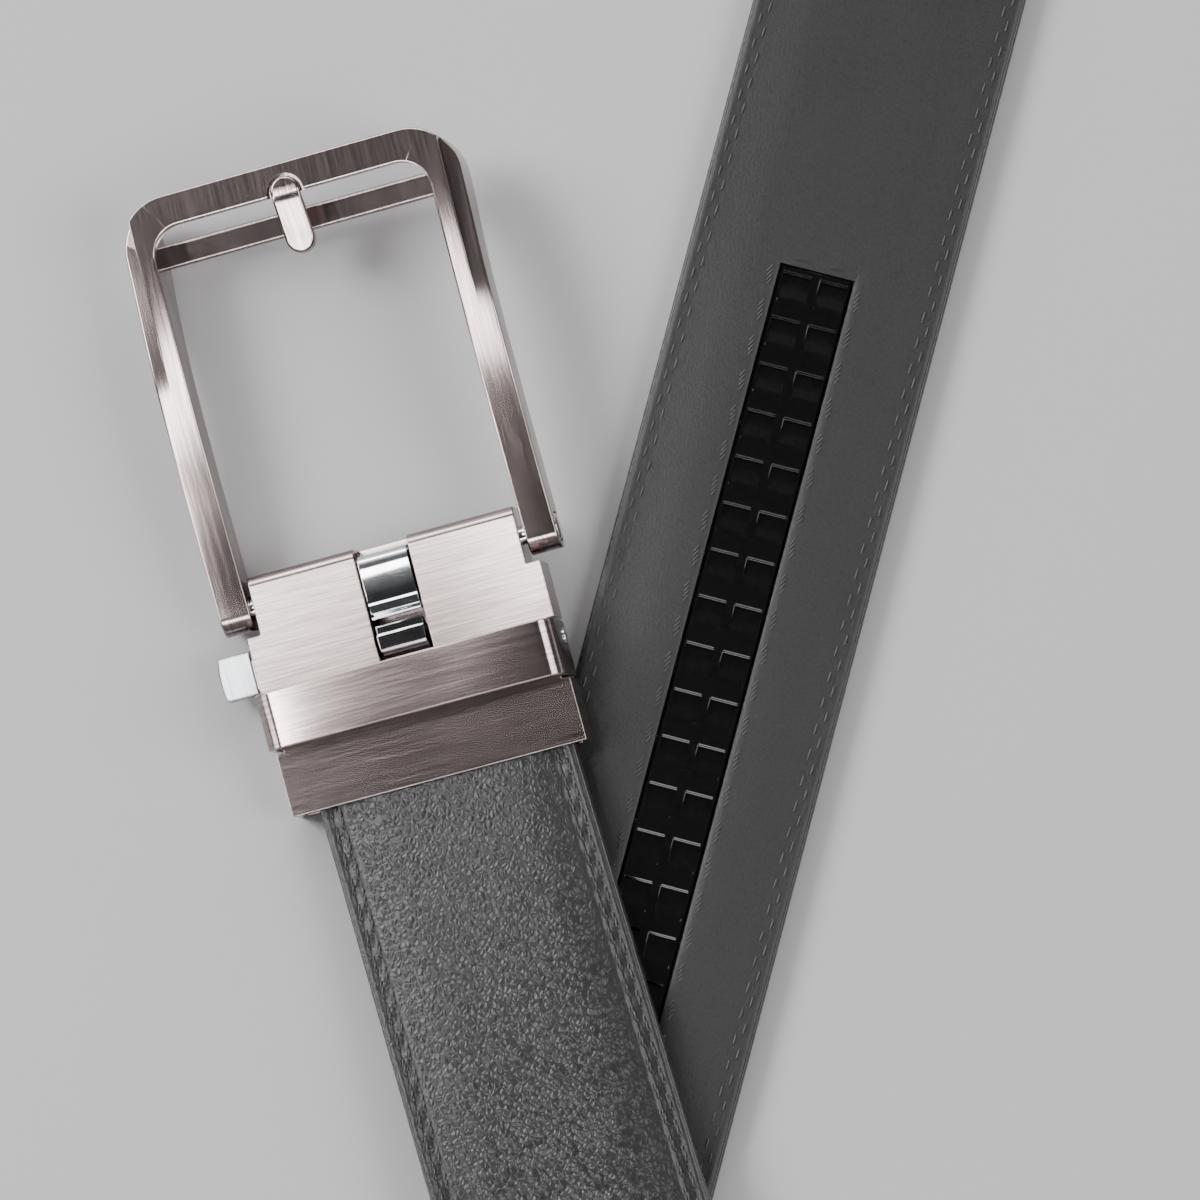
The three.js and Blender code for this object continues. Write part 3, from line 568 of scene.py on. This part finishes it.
def thread_mesh(name, lines, radius, sides=5, plies=1, turns=0.0, ply_offset=0.0):
    """Threads along lines, an array (threads, points, 3) of strap coordinates (s, u, v)."""
    lines = np.asarray(lines, float)
    count, steps = lines.shape[:2]
    t = np.linspace(0, 1, steps)
    taper = radius * np.sqrt(np.clip(1 - (2 * t - 1) ** 6, 0.02, 1))
    angles = np.arange(sides) / sides * 2 * math.pi
    verts, faces, offset = [], [], 0
    for ply in range(plies):
        phase = 2 * math.pi * (t * turns + ply / plies)
        u = lines[..., 1] + ply_offset * np.cos(phase)
        v = lines[..., 2] + ply_offset * np.sin(phase)
        ring_u = u[..., None] + taper[None, :, None] * np.cos(angles)
        ring_v = v[..., None] + taper[None, :, None] * np.sin(angles)
        ring_s = np.broadcast_to(lines[..., 0][..., None], ring_u.shape)
        verts.append(strap_world(ring_s, ring_u, ring_v).reshape(-1, 3))
        base = np.array(grid_faces(steps, sides, closed_cols=True))
        for k in range(count):
            start = offset + k * steps * sides
            faces.extend((base + start).tolist())
            faces.append([start + m for m in range(sides)])
            faces.append([start + (steps - 1) * sides + m for m in range(sides)][::-1])
        offset += count * steps * sides
    return tidy(mesh_of(name, np.concatenate(verts), faces))


def stitch_lines(row, length, phase, height, side, slant, steps):
    """Stitches along a row: each rises out of one needle hole and dips into the next."""
    start, end, sunk, rise = 1.5, STRAP_LENGTH - 16, 0.22, 0.3
    first = math.ceil((start + length) / STITCH_PITCH - phase)
    last = math.floor((end - length) / STITCH_PITCH - phase)
    centres = (np.arange(first, last) + phase) * STITCH_PITCH
    t = np.linspace(-0.5, 0.5, steps)
    s = centres[:, None] + t * length
    u = np.full_like(s, row) + slant * t
    arch = np.sqrt(np.clip(1 - (2 * t) ** 4, 0, 1))
    v = side * (height(s, u) - sunk + rise * arch)
    return np.stack([s, u, v], -1)


def front_stitches(sign):
    lines = np.concatenate([
        stitch_lines(sign * row, 2.75, phase, front_height, 1, 0.25 * sign, 9) for row, phase in FRONT_ROWS
    ])
    return thread_mesh("front_stitches", lines, 0.15, sides=5, plies=2, turns=1.25, ply_offset=0.13)


def back_stitches():
    lines = np.concatenate([
        stitch_lines(sign * row, 1.9, phase, back_height, -1, 0.1, 7)
        for sign in (-1, 1) for row, phase in LINING_ROWS
    ])
    return thread_mesh("back_stitches", lines, 0.13, sides=6)


def slot_stitches():
    """Tacks of slanted strands beside the slot, and two across each of its ends."""
    lines = []
    t = np.linspace(-0.5, 0.5, 7)
    arch = np.sqrt(np.clip(1 - (2 * t) ** 4, 0, 1))
    tack_pitch, strands, strand_pitch, beside, rise = 4.8, 4, 0.62, 0.95, 0.14

    def add(s, u, sunk):
        lines.append(np.stack([s, u, -(back_height(s, u) - sunk + rise * arch)], -1))

    for sign in (-1, 1):
        middle = sign * (SLOT_HALF + beside)
        stagger = 0.8 if sign > 0 else 0
        for k in range(int((TRACK_START - TRACK_END) / tack_pitch)):
            centre = TRACK_START - 1.6 - k * tack_pitch - stagger
            for strand in range(strands):
                step = strand - (strands - 1) / 2
                add(centre + step * strand_pitch + t * 1.25, middle - step * 0.09 + t * 0.62, 0.1)
    for end in (TRACK_START + GAP + 0.9, TRACK_END - GAP - 0.9):
        for middle in (-2.3, 2.6):
            add(end + 0.25 * t, middle + t * 2.4, 0.08)
    return thread_mesh("slot_stitches", np.array(lines), 0.12, sides=6)


def ratchet_track():
    """Rows of two pockets: a square step at the far end of each, and a ramp out of it at the near end."""
    rib, wall, bevel, slope, lip = 0.55, 4.3, 0.13, 0.06, 0.11
    half = TRACK_HALF
    columns = [
        -half, -half + bevel, -wall, -wall + slope, -rib - slope, -rib, rib, rib + lip, rib + lip + slope,
        wall - slope, wall, half - bevel, half,
    ]
    inside = [0, 0, 0, 1, 1, 0, 0, 0.055, 1, 1, 0, 0, 0]
    drop = [0.35, 0, 0, 0, 0, 0, 0, 0, 0, 0, 0, 0, 0.35]
    top, deep = 1.55, 0.75
    # How far down the pocket each step is: (distance from the row's tip side, share of the depth)
    steps = [(0.0, 0), (0.13, 0.065), (0.2, 0.95), (0.3, 1.0), (1.4, 0.8), (2.4, 0.5), (3.4, 0.16),
             (3.8, 0.04), (4.1, 0.0)]
    stations = [(TRACK_START, 0)]
    for k in range(TRACK_ROWS):
        tip_side = TRACK_START - k * TRACK_PITCH - (0.5 if k == 0 else 0.28)
        stations += [(tip_side - distance, share) for distance, share in steps]
    stations.append((TRACK_END, 0))
    s, share = (column[:, None] for column in np.array(stations, float).T)
    depth = share * np.array(inside)[None]
    v = top - depth * (top - deep) - np.array(drop)[None]
    u = np.broadcast_to(np.array(columns)[None], v.shape)
    upper = strap_world(np.broadcast_to(s, v.shape), u, -v)
    lower = strap_world(s, np.array(columns)[::-1][None], LINING_INNER + 0 * s)
    points = np.concatenate([upper, lower], 1)
    flat_u = np.concatenate([columns, columns[::-1]])
    uv = np.stack(np.broadcast_arrays(flat_u[None], s), -1)
    return tube_mesh("track", points, uv.reshape(-1, 2))


piece("strap_front", front_leather(), M_LEATHER, "belt", ["strap_front_leather"], sharp=60)
piece("strap_back", back_lining(), M_LINING, "belt", ["strap_back_lining"], sharp=60)
piece("strap_edge", edge_bead(), M_EDGE, "belt", sharp=80)
piece("stitches_front_left", front_stitches(-1), M_THREAD, "belt", sharp=None)
piece("stitches_front_right", front_stitches(1), M_THREAD, "belt", sharp=None)
piece("stitches_back", back_stitches(), M_THREAD, "belt", sharp=None)
piece("stitches_slot", slot_stitches(), M_THREAD, "belt", sharp=None)
piece("track", ratchet_track(), M_TRACK, "belt", ["ratchet_track"], sharp=14)

# Metal, first in millimetres in the buckle's own axes


def arc(a, b, radius, start, end, count):
    turns = [math.radians(start + (end - start) * k / count) for k in range(count + 1)]
    return [(a + radius * math.cos(t), b + radius * math.sin(t)) for t in turns]


def prism(outline, low, high, axis):
    """An outline carried along an axis: (y, z) along x, (x, z) along y, (x, y) along z."""
    place = {
        "x": lambda a, b, c: (c, a, b),
        "y": lambda a, b, c: (a, c, b),
        "z": lambda a, b, c: (a, b, c),
    }[axis]
    n = len(outline)
    verts = [place(a, b, c) for c in (low, high) for a, b in outline]
    faces = [tuple(range(n))[::-1], tuple(range(n, 2 * n))]
    faces += [(i, (i + 1) % n, (i + 1) % n + n, i + n) for i in range(n)]
    return tidy(mesh_of("prism", verts, faces), 1e-5)


def block(x0, x1, y0, y1, z0, z1):
    return prism([(x0, y0), (x1, y0), (x1, y1), (x0, y1)], z0, z1, "z")


def rod(radius, x0, x1, y, z, dome=0.0):
    """A round rod along x; dome rounds its far end."""
    sides = 40
    if not dome:
        return prism(arc(y, z, radius, 0, 360, sides)[:-1], x0, x1, "x")
    sign = 1 if x1 > x0 else -1
    rings = [(x0, radius)]
    rings += [(x1 - sign * dome * (1 - math.sin(t)), radius * math.cos(t) ** 0.6)
              for t in np.linspace(0, math.pi / 2 * 0.97, 7)]
    turns = np.arange(sides) / sides * 2 * math.pi
    verts = [(x, y + r * math.cos(a), z + r * math.sin(a)) for x, r in rings for a in turns]
    faces = grid_faces(len(rings), sides, closed_cols=True)
    faces += [tuple(range(sides)), tuple(range((len(rings) - 1) * sides, len(rings) * sides))]
    return tidy(mesh_of("rod", verts, faces), 1e-5)


def evaluated(mesh, change):
    """The mesh after the modifiers that change() adds to an object of it."""
    obj = bpy.data.objects.new("work", mesh)
    bpy.context.scene.collection.objects.link(obj)
    extra = change(obj)
    bpy.context.view_layer.update()
    made = bpy.data.meshes.new_from_object(obj.evaluated_get(bpy.context.evaluated_depsgraph_get()))
    for used in (obj, extra):
        if used is not None:
            bpy.data.objects.remove(used)
    return made


def combine(mesh, operation, *others):
    for other in others:
        def change(obj):
            tool = bpy.data.objects.new("tool", other)
            bpy.context.scene.collection.objects.link(tool)
            modifier = obj.modifiers.new("combine", "BOOLEAN")
            modifier.operation = operation
            modifier.object = tool
            modifier.solver = "EXACT"
            return tool
        mesh = evaluated(mesh, change)
    return mesh


def bevelled(mesh, width, segments=3, angle=40):
    def change(obj):
        modifier = obj.modifiers.new("bevel", "BEVEL")
        modifier.width = width
        modifier.segments = segments
        modifier.limit_method = "ANGLE"
        modifier.angle_limit = math.radians(angle)
        modifier.use_clamp_overlap = False
        modifier.miter_outer = "MITER_ARC"
    return evaluated(mesh, change)


BUCKLE = (
    Matrix.Scale(MM, 4)
    @ Matrix.Translation(BUCKLE_PLACE)
    @ Matrix.Rotation(BUCKLE_ROLL, 4, "Y")
)
LIFTED = (
    BUCKLE
    @ Matrix.Translation((0, HINGE_Y, HINGE_Z))
    @ Matrix.Rotation(FRAME_LIFT, 4, "X")
    @ Matrix.Translation((0, -HINGE_Y, -HINGE_Z))
)


def metal_piece(name, mesh, material, body, node, lifted=False):
    mesh.transform(LIFTED if lifted else BUCKLE)
    piece(name, mesh, material, body, [node], weighted=True)


def clamp_body():
    plate, neck, seat = 20.1, 18.2, 19.0
    keeper_low, keeper_high = 8.4, 16.5
    neck_start, length, depth, roll = 24.15, 32.0, 7.0, 1.5
    right = [
        (plate, 0), (plate, keeper_low), (seat, keeper_low), (seat, keeper_high), (plate, keeper_high),
        (plate, neck_start), (neck, neck_start), (neck, length),
    ]
    outline = right + [(-x, y) for x, y in reversed(right)]
    profile = [(-1, -depth), (length, -depth)] + arc(length - roll, -roll, roll, 0, 90, 10)
    profile += [(9, 0), (-1, -0.9)]
    mesh = prism(outline, -depth, 1, "z")
    mesh = combine(mesh, "INTERSECT", prism(profile, -plate - 1, plate + 1, "x"))
    sleeve = block(-19, 19, -1, 8.5, -5.4, -1.2)
    hollow = block(-17.1, 17.1, 8.4, 30.9, -8, -1.2)
    pawl_slot = block(-3.65, 3.65, 15, 33, -5, 1)
    lever_notch = block(-22, -16.1, 17.1, 21.8, -6.25, -1.75)
    return bevelled(combine(mesh, "DIFFERENCE", sleeve, hollow, pawl_slot, lever_notch), 0.16, 3)


def cover():
    return bevelled(block(-16.8, 16.8, 8.7, 30.6, -7, -5.8), 0.2, 2)


def keeper():
    half, thick, clear, radius, foot, crown = 20.3, 1.1, 5.0, 2.4, -5.5, 0.9
    near, far, tilt = 8.7, 16.2, 0.055
    top, inner = clear + thick, half - thick + 0.1
    outer = [(half, foot)] + arc(half - radius, top - radius, radius, 0, 90, 12)
    under = [(inner, foot)] + arc(inner - radius + thick, clear - radius + thick, radius - thick, 0, 90, 8)
    across = [half - radius - k * (half - radius) / 12 for k in range(1, 24)]
    outline = outer + [(x, top) for x in across] + [(-x, z) for x, z in reversed(outer)]
    outline += [(-x, z) for x, z in under] + under[::-1]
    outline = [(x, z - crown * (x / half) ** 2 if z > clear - 2 else z) for x, z in outline]
    mesh = bevelled(prism(outline, near, far, "y"), 0.22, 3)
    for vertex in mesh.vertices:
        if vertex.co.z > clear - 2:
            vertex.co.z += tilt * (vertex.co.y - (near + far) / 2)
    return mesh


def guide():
    foot, half, crest, sweep = -5.5, 3.35, 0.14, 18.6
    outline = [(22.2, foot), (30.6, foot), (30.85, -1.6), (30.75, -0.85), (30.4, -0.3), (29.9, -0.02)]
    outline += arc(27.9, crest - sweep, sweep, 86, 99.9, 12)
    outline += [
        (24.35, -0.25), (24.1, -0.15), (22.95, -0.5), (22.75, -1.2), (22.6, -1.2), (22.5, -0.25),
        (22.2, -0.25),
    ]
    return bevelled(prism(outline, -half, half, "x"), 0.08, 2)


def pawl():
    outline = [
        (SHAFT_Y, SHAFT_Z - HUB_RADIUS + 0.4), (17.6, -4.4), (21.2, -2.4), (21.2, 0.05), (20.1, -0.2),
        (19.95, 0.85), (17.7, 0.4), (17.5, -0.9), (SHAFT_Y, SHAFT_Z + HUB_RADIUS - 0.4),
    ]
    half = 3.15
    mesh = combine(prism(outline, -half, half, "x"), "UNION", rod(HUB_RADIUS, -half, half, SHAFT_Y, SHAFT_Z))
    mesh = combine(mesh, "DIFFERENCE", rod(SHAFT_RADIUS + 0.25, -half - 1, half + 1, SHAFT_Y, SHAFT_Z))
    return bevelled(mesh, 0.12, 2)


def shaft():
    return bevelled(rod(SHAFT_RADIUS, -20.4, 20.5, SHAFT_Y, SHAFT_Z), 0.15, 3)


def lever():
    near, far, outer, top, bottom = 16.8, 22.7, 25.3, -1.9, -4.1
    wall, bulge, eye_outer, eye_inner, eye_half = 20.5, 0.35, 16.8, 15.4, 1.7
    tab = [(-wall, near), (-wall, far)]
    for k in range(11):
        t = -1 + 2 * k / 10
        tab.append((-outer + bulge * t * t, (near + far) / 2 - t * (far - near) / 2))
    body = bevelled(prism(tab, bottom, top, "z"), 0.35, 4)
    neck_far, neck_bottom, neck_top = far - 1.3, bottom + 0.2, top - 0.2
    neck = block(-wall - 0.5, -eye_inner, near + 0.7, neck_far, neck_bottom, neck_top)
    side = [
        (SHAFT_Y, SHAFT_Z - eye_half), (neck_far, neck_bottom), (neck_far, neck_top),
        (SHAFT_Y, SHAFT_Z + eye_half),
    ]
    arm = prism(side, -eye_outer, -eye_inner, "x")
    eye = rod(HUB_RADIUS, -eye_outer, -eye_inner, SHAFT_Y, SHAFT_Z)
    bore = rod(SHAFT_RADIUS + 0.25, -eye_outer - 1, -eye_inner + 1, SHAFT_Y, SHAFT_Z)
    return combine(combine(body, "UNION", neck, arm, eye), "DIFFERENCE", bore)


def hinge_pin(side):
    """A pin with a domed head outside the frame's eye and a domed rivet inside the housing."""
    head_radius, stem_radius = 1.8, 1.3
    head = rod(head_radius, side * (ARM_OUTER - 0.9), side * (ARM_OUTER + GAP), HINGE_Y, HINGE_Z, dome=0.45)
    stem = rod(stem_radius, side * 16.3, side * (ARM_OUTER - 0.5), HINGE_Y, HINGE_Z)
    rivet = rod(head_radius, side * 16.8, side * 16.0, HINGE_Y, HINGE_Z, dome=0.3)
    return combine(stem, "UNION", head, rivet)


# Frame: one section carried round from eye to eye


def front_at(y):
    """The height of the frame's front: round over the eye, then crowned."""
    crown, crown_y = 2.2, 60
    crowned = HINGE_Z + EYE_RADIUS + crown * (1 - ((y - crown_y) / (crown_y - HINGE_Y)) ** 2)
    eye = HINGE_Z + np.sqrt(np.clip(EYE_RADIUS ** 2 - (HINGE_Y - y) ** 2, 0, None))
    return np.where(y < HINGE_Y, eye, crowned)


def ledge_at(y):
    depth, run = 2.4, 23
    return front_at(y) - depth * smooth((y - LEDGE_START) / run)


def spline_points(points, count):
    """A Catmull-Rom curve through the points."""
    p = np.array([points[0], *points, points[-1]], float)
    made = []
    for t in np.linspace(0, len(points) - 1, count):
        i = min(int(t), len(points) - 2)
        f = t - i
        a, b, c, d = p[i], p[i + 1], p[i + 2], p[i + 3]
        made.append(0.5 * (2 * b + (c - a) * f + (2 * a - 5 * b + 4 * c - d) * f ** 2
                           + (3 * b - a - 3 * c + d) * f ** 3))
    return np.array(made)


BACK_CURVE = spline_points([
    (HINGE_Y, HINGE_Z - EYE_RADIUS), (36, -5.4), (48, -4.5), (60, -4.5), (69, -6.3), (74, -8.2), (77.5, -8.5),
    (80.5, -7.8), (FRAME_END, -5),
], 240)


def back_at(y):
    eye = HINGE_Z - np.sqrt(np.clip(EYE_RADIUS ** 2 - (HINGE_Y - y) ** 2, 0, None))
    return np.where(y < HINGE_Y, eye, np.interp(y, BACK_CURVE[:, 0], BACK_CURVE[:, 1]))


def layer_back(y):
    return front_at(y) - LAYER_THICKNESS


def inner_back(y):
    return np.maximum(layer_back(y), back_at(y))


def rounded_corners(points, radii, count):
    """Each corner of a closed outline as count + 1 points of an arc, smaller where the sides are short."""
    made = []
    n = len(points)
    for k in range(n):
        before, here, after = (np.array(points[(k + d) % n], float) for d in (-1, 0, 1))
        a, b = before - here, after - here
        la, lb = np.linalg.norm(a), np.linalg.norm(b)
        reach = min(radii[k], 0.45 * la, 0.45 * lb)
        if reach < 1e-6 or la < 1e-6 or lb < 1e-6:
            made += [here] * (count + 1)
            continue
        p, q = here + a / la * reach, here + b / lb * reach
        for i in range(count + 1):
            t = i / count
            made.append((1 - t) ** 2 * p + 2 * t * (1 - t) * here + t * t * q)
    return made


def frame_rails():
    """Outer and inner points of the section all round, from the right eye to the left one."""
    inner_x, inner_y, inner_radius = 14.9, 75.25, 4
    turn = np.radians(np.linspace(90, 0, 12))
    ys = np.concatenate([
        HINGE_Y - EYE_RADIUS * np.sin(turn)[:-1], np.linspace(HINGE_Y, LEDGE_START, 25),
        np.linspace(LEDGE_START, inner_y, 24)[1:],
    ])
    outer, inner = ([(x, y) for y in ys] for x in (ARM_OUTER, ARM_INNER))
    corner_x, corner_y = ARM_OUTER - FRAME_CORNER, FRAME_END - FRAME_CORNER
    kink = math.degrees(math.acos((LAYER_HALF - corner_x) / FRAME_CORNER))
    wedge = math.degrees(math.acos((ARM_INNER - corner_x) / FRAME_CORNER))
    for angle in sorted({*np.linspace(3, 90, 30), kink, wedge, wedge + 0.4}):
        t = math.radians(angle)
        outer.append((corner_x + FRAME_CORNER * math.cos(t), corner_y + FRAME_CORNER * math.sin(t)))
        inner.append((inner_x + inner_radius * math.cos(t), inner_y + inner_radius * math.sin(t)))
    for x in np.linspace(14, 0, 12):
        outer.append((x, FRAME_END))
        inner.append((x, OPENING_END))
    outer += [(-x, y) for x, y in outer[-2::-1]]
    inner += [(-x, y) for x, y in inner[-2::-1]]
    return np.array(outer), np.array(inner)


def frame_shell():
    outer, inner = frame_rails()
    loops = []
    for o, i in zip(outer, inner):
        width = np.linalg.norm(i - o)

        def at(fraction, height):
            """The section's point at a share of the way from the outer to the inner side."""
            y = o[1] + (i[1] - o[1]) * fraction
            return (fraction * width, float(height(np.array(y))))

        run = abs(o[0]) - abs(i[0])
        ledge = np.clip((abs(o[0]) - LAYER_HALF) / run, 0, 1) if run > 0.2 else 0.0
        deep = abs(o[0]) >= ARM_INNER - 1e-6
        wall = np.clip((abs(o[0]) - ARM_INNER) / run, 0, 1) if run > 0.2 and deep else 0.0
        back = back_at if deep else layer_back
        if ledge > 0:
            side = [at(0, ledge_at), at(ledge, ledge_at)]
        else:
            side = [at(0, lambda y: front_at(y) - 1.0), at(0, lambda y: front_at(y) - 0.6)]
        foot = [at(wall, inner_back), at(wall, back)] if deep else [at(0, layer_back)] * 2
        corners = [
            at(0, back), *side, at(ledge, front_at), at(1, front_at), at(1, inner_back), *foot,
        ]
        step = corners[3][1] - corners[2][1]
        radii = [0.35, 0.3, min(0.12, step / 3), min(0.25, step / 2), 0.3, 0.25, 0.0, 0.35]
        section = rounded_corners(corners, radii, 3)
        direction_in = (i - o) / width
        loops.append([(*(o + direction_in * w), z) for w, z in section])
    return tube_mesh("frame_shell", np.array(loops), distance=1e-4)


def rounded_panel(half, near, far, corner):
    right = arc(half - corner, far - corner, corner, 0, 90, 16)
    return [(-half, near), (half, near)] + right + [(-x, y) for x, y in reversed(right)]


def buckle_frame():
    front = float(front_at(np.array(76.3))) - 7.9
    bar_half = 19.3
    bar = [
        (74.7, front - 1.8), (77.9, front - 1.8), (77.9, front - 0.3), (77.6, front), (75.0, front - 0.75),
        (74.7, front - 1.05),
    ]
    mesh = combine(frame_shell(), "UNION", bevelled(prism(bar, -bar_half, bar_half, "x"), 0.12, 2, 30))
    notch = prism(rounded_panel(2.5, 74, 82, 2.49), -0.4, 10, "z")
    mesh = combine(mesh, "DIFFERENCE", notch)
    for side in (1, -1):
        head_seat = rod(2.05, side * 21.9, side * 24, HINGE_Y, HINGE_Z)
        pin_bore = rod(1.6, side * 18, side * 22.5, HINGE_Y, HINGE_Z)
        mesh = combine(mesh, "DIFFERENCE", head_seat, pin_bore)
    return mesh


def prong():
    floor, half, near, far = -0.1, 1.95, 71.5, 81.65
    profile = [
        (far + 0.5, floor), (far + 0.5, 1.0), (80.4, 1.1), (79.4, 1.12), (78.9, 1.05), (78.2, 0.8),
        (near - 0.5, -2.3), (near - 0.5, -3.9), (76.6, -1.7), (78.8, floor),
    ]
    outline = arc(0, far - half, half, 0, 180, 24) + arc(0, near + half, half, 180, 360, 24)
    mesh = combine(prism(profile, -half - 1, half + 1, "x"), "INTERSECT", prism(outline, -10, 10, "z"))
    return bevelled(mesh, 0.4, 4, 50)


metal_piece("clamp", clamp_body(), M_CLAMP, "belt", "clamp_body")
metal_piece("clamp_cover", cover(), M_CLAMP, "belt", "clamp_back_cover")
metal_piece("keeper", keeper(), M_CLAMP, "belt", "keeper_band")
metal_piece("guide", guide(), M_STEEL, "belt", "pawl_guide")
metal_piece("pin_left", hinge_pin(-1), M_STEEL, "belt", "hinge_pin_left")
metal_piece("pin_right", hinge_pin(1), M_STEEL, "belt", "hinge_pin_right")
metal_piece("pawl_tooth", pawl(), M_STEEL, "catch", "pawl")
metal_piece("pawl_axle", shaft(), M_STEEL, "catch", "pawl_shaft")
metal_piece("lever", lever(), M_SILVER, "catch", "release_lever")
metal_piece("frame_loop", buckle_frame(), M_FRAME, "frame", "buckle_frame", lifted=True)
metal_piece("prong", prong(), M_FRAME, "frame", "prong_stub", lifted=True)

# Floor, camera and light


def plain_floor():
    g = Graph("floor")
    place = g.node("ShaderNodeTexCoord").outputs["Object"]
    cloud = g.noise(place, 3.0)
    g.link(g.ramp(cloud, (0.3, (0.66, 0.66, 0.67)), (0.7, (0.7, 0.7, 0.71))), "Base Color")
    g.set(Roughness=0.8)
    half = 4.0
    corners = [(-half, -half, 0), (half, -half, 0), (half, half, 0), (-half, half, 0)]
    mesh = mesh_of("floor", corners, [(0, 1, 2, 3)])
    mesh.materials.append(g.material)
    obj = bpy.data.objects.new("floor", mesh)
    bpy.context.scene.collection.objects.link(obj)


PHOTO_TURN = math.radians(14.4)
PHOTO_RIGHT = Vector((math.cos(PHOTO_TURN), -math.sin(PHOTO_TURN), 0))
PHOTO_UP = Vector((math.sin(PHOTO_TURN), math.cos(PHOTO_TURN), 0))
PHOTO_WIDTH = 0.1573
LOOK_AT = Vector((23.12, 75.35, 5)) * MM
DISTANCE = 0.8
LEAN_RIGHT = math.radians(2.5)
LEAN_DOWN = math.radians(4.6)


def photo_camera():
    data = bpy.data.cameras.new("camera")
    data.sensor_width = 36
    data.lens = data.sensor_width * DISTANCE / PHOTO_WIDTH
    data.clip_start = 0.02
    data.clip_end = 20
    obj = bpy.data.objects.new("camera", data)
    bpy.context.scene.collection.objects.link(obj)
    back = Vector((0, 0, 1)) + PHOTO_RIGHT * math.tan(LEAN_RIGHT) - PHOTO_UP * math.tan(LEAN_DOWN)
    back.normalize()
    right = PHOTO_UP.cross(back).normalized()
    up = back.cross(right)
    rotation = Matrix((right, up, back)).transposed()
    obj.matrix_world = Matrix.Translation(LOOK_AT + back * DISTANCE) @ rotation.to_4x4()
    bpy.context.scene.camera = obj


def softbox(name, place, aim, size, power, turn=0.0):
    data = bpy.data.lights.new(name, "AREA")
    data.shape = "RECTANGLE"
    data.size, data.size_y = size
    data.energy = power
    obj = bpy.data.objects.new(name, data)
    bpy.context.scene.collection.objects.link(obj)
    aimed = (Vector(aim) - Vector(place)).to_track_quat("-Z", "Y").to_matrix().to_4x4()
    obj.matrix_world = Matrix.Translation(place) @ Matrix.Rotation(math.radians(turn), 4, "Z") @ aimed
    obj.visible_camera = False
    return obj


def gleam(name, place, aim, size, radiance, turn=0.0):
    """A softbox that is seen in gloss alone."""
    softbox(name, place, aim, size, radiance * math.pi * size[0] * size[1], turn).visible_diffuse = False


def studio_world():
    """A soft grey room: darker towards the front of the ceiling, with a bright band at its back."""
    world = bpy.data.worlds.new("studio")
    bpy.context.scene.world = world
    world.use_nodes = True
    tree = world.node_tree
    background = tree.nodes["Background"]
    place = tree.nodes.new("ShaderNodeTexCoord")
    split = tree.nodes.new("ShaderNodeSeparateXYZ")
    tree.links.new(place.outputs["Generated"], split.inputs[0])
    ramp = tree.nodes.new("ShaderNodeValToRGB")
    level = tree.nodes.new("ShaderNodeMath")
    level.operation = "MULTIPLY_ADD"
    level.inputs[1].default_value = 0.5
    level.inputs[2].default_value = 0.5
    tree.links.new(split.outputs["Y"], level.inputs[0])
    tree.links.new(level.outputs[0], ramp.inputs["Fac"])
    front, dark, ceiling, band = 0.25, 0.03, 0.16, 1.7
    stops = [
        (0.0, front), (0.14, front), (0.24, dark), (0.42, dark),
        (0.5, ceiling), (0.76, ceiling), (0.84, band), (0.96, band),
    ]
    elements = ramp.color_ramp.elements
    while len(elements) < len(stops):
        elements.new(0.5)
    for element, (where, value) in zip(elements, stops):
        element.position = where
        element.color = (value, value, value * 1.01, 1)
    tree.links.new(ramp.outputs["Color"], background.inputs["Color"])
    background.inputs["Strength"].default_value = 1.0


plain_floor()
photo_camera()
studio_world()
MIDDLE = (0, 0, 0)
STRAP_MIDDLE = (0, 0.05, 0)
BUCKLE_MIDDLE = (0, 0.1, 0)
softbox("key", (-0.75, 0.62, 0.75), STRAP_MIDDLE, (0.5, 0.5), 12)
softbox("fill", (0.95, -0.35, 0.9), STRAP_MIDDLE, (0.8, 0.8), 10)
gleam("gleam_plate", (-0.08, 0.132, 0.26), (-0.08, 0.132, 0), (0.09, 0.04), 14, 20)
gleam("gleam_left", (-0.118, 0.116, 0.26), (-0.118, 0.116, 0), (0.03, 0.044), 24)
gleam("gleam_right", (-0.043, 0.119, 0.26), (-0.043, 0.119, 0), (0.02, 0.038), 22)
gleam("gleam_side", (-0.158, 0.075, 0.26), (-0.158, 0.075, 0), (0.05, 0.07), 30)
gleam("gleam_back", (-0.1, 0.58, 0.33), BUCKLE_MIDDLE, (0.5, 0.2), 9)
gleam("gleam_front", (-0.1, -0.55, 0.72), BUCKLE_MIDDLE, (1.2, 0.16), 14)
gleam("gleam_right_side", (0.85, 0.15, 0.85), BUCKLE_MIDDLE, (0.2, 0.7), 10)
gleam("gleam_low_left", (-0.9, -0.05, 0.4), MIDDLE, (0.3, 0.5), 7)
gleam("gleam_beside", (-0.5, -0.1, 0.78), MIDDLE, (0.2, 0.4), 2)
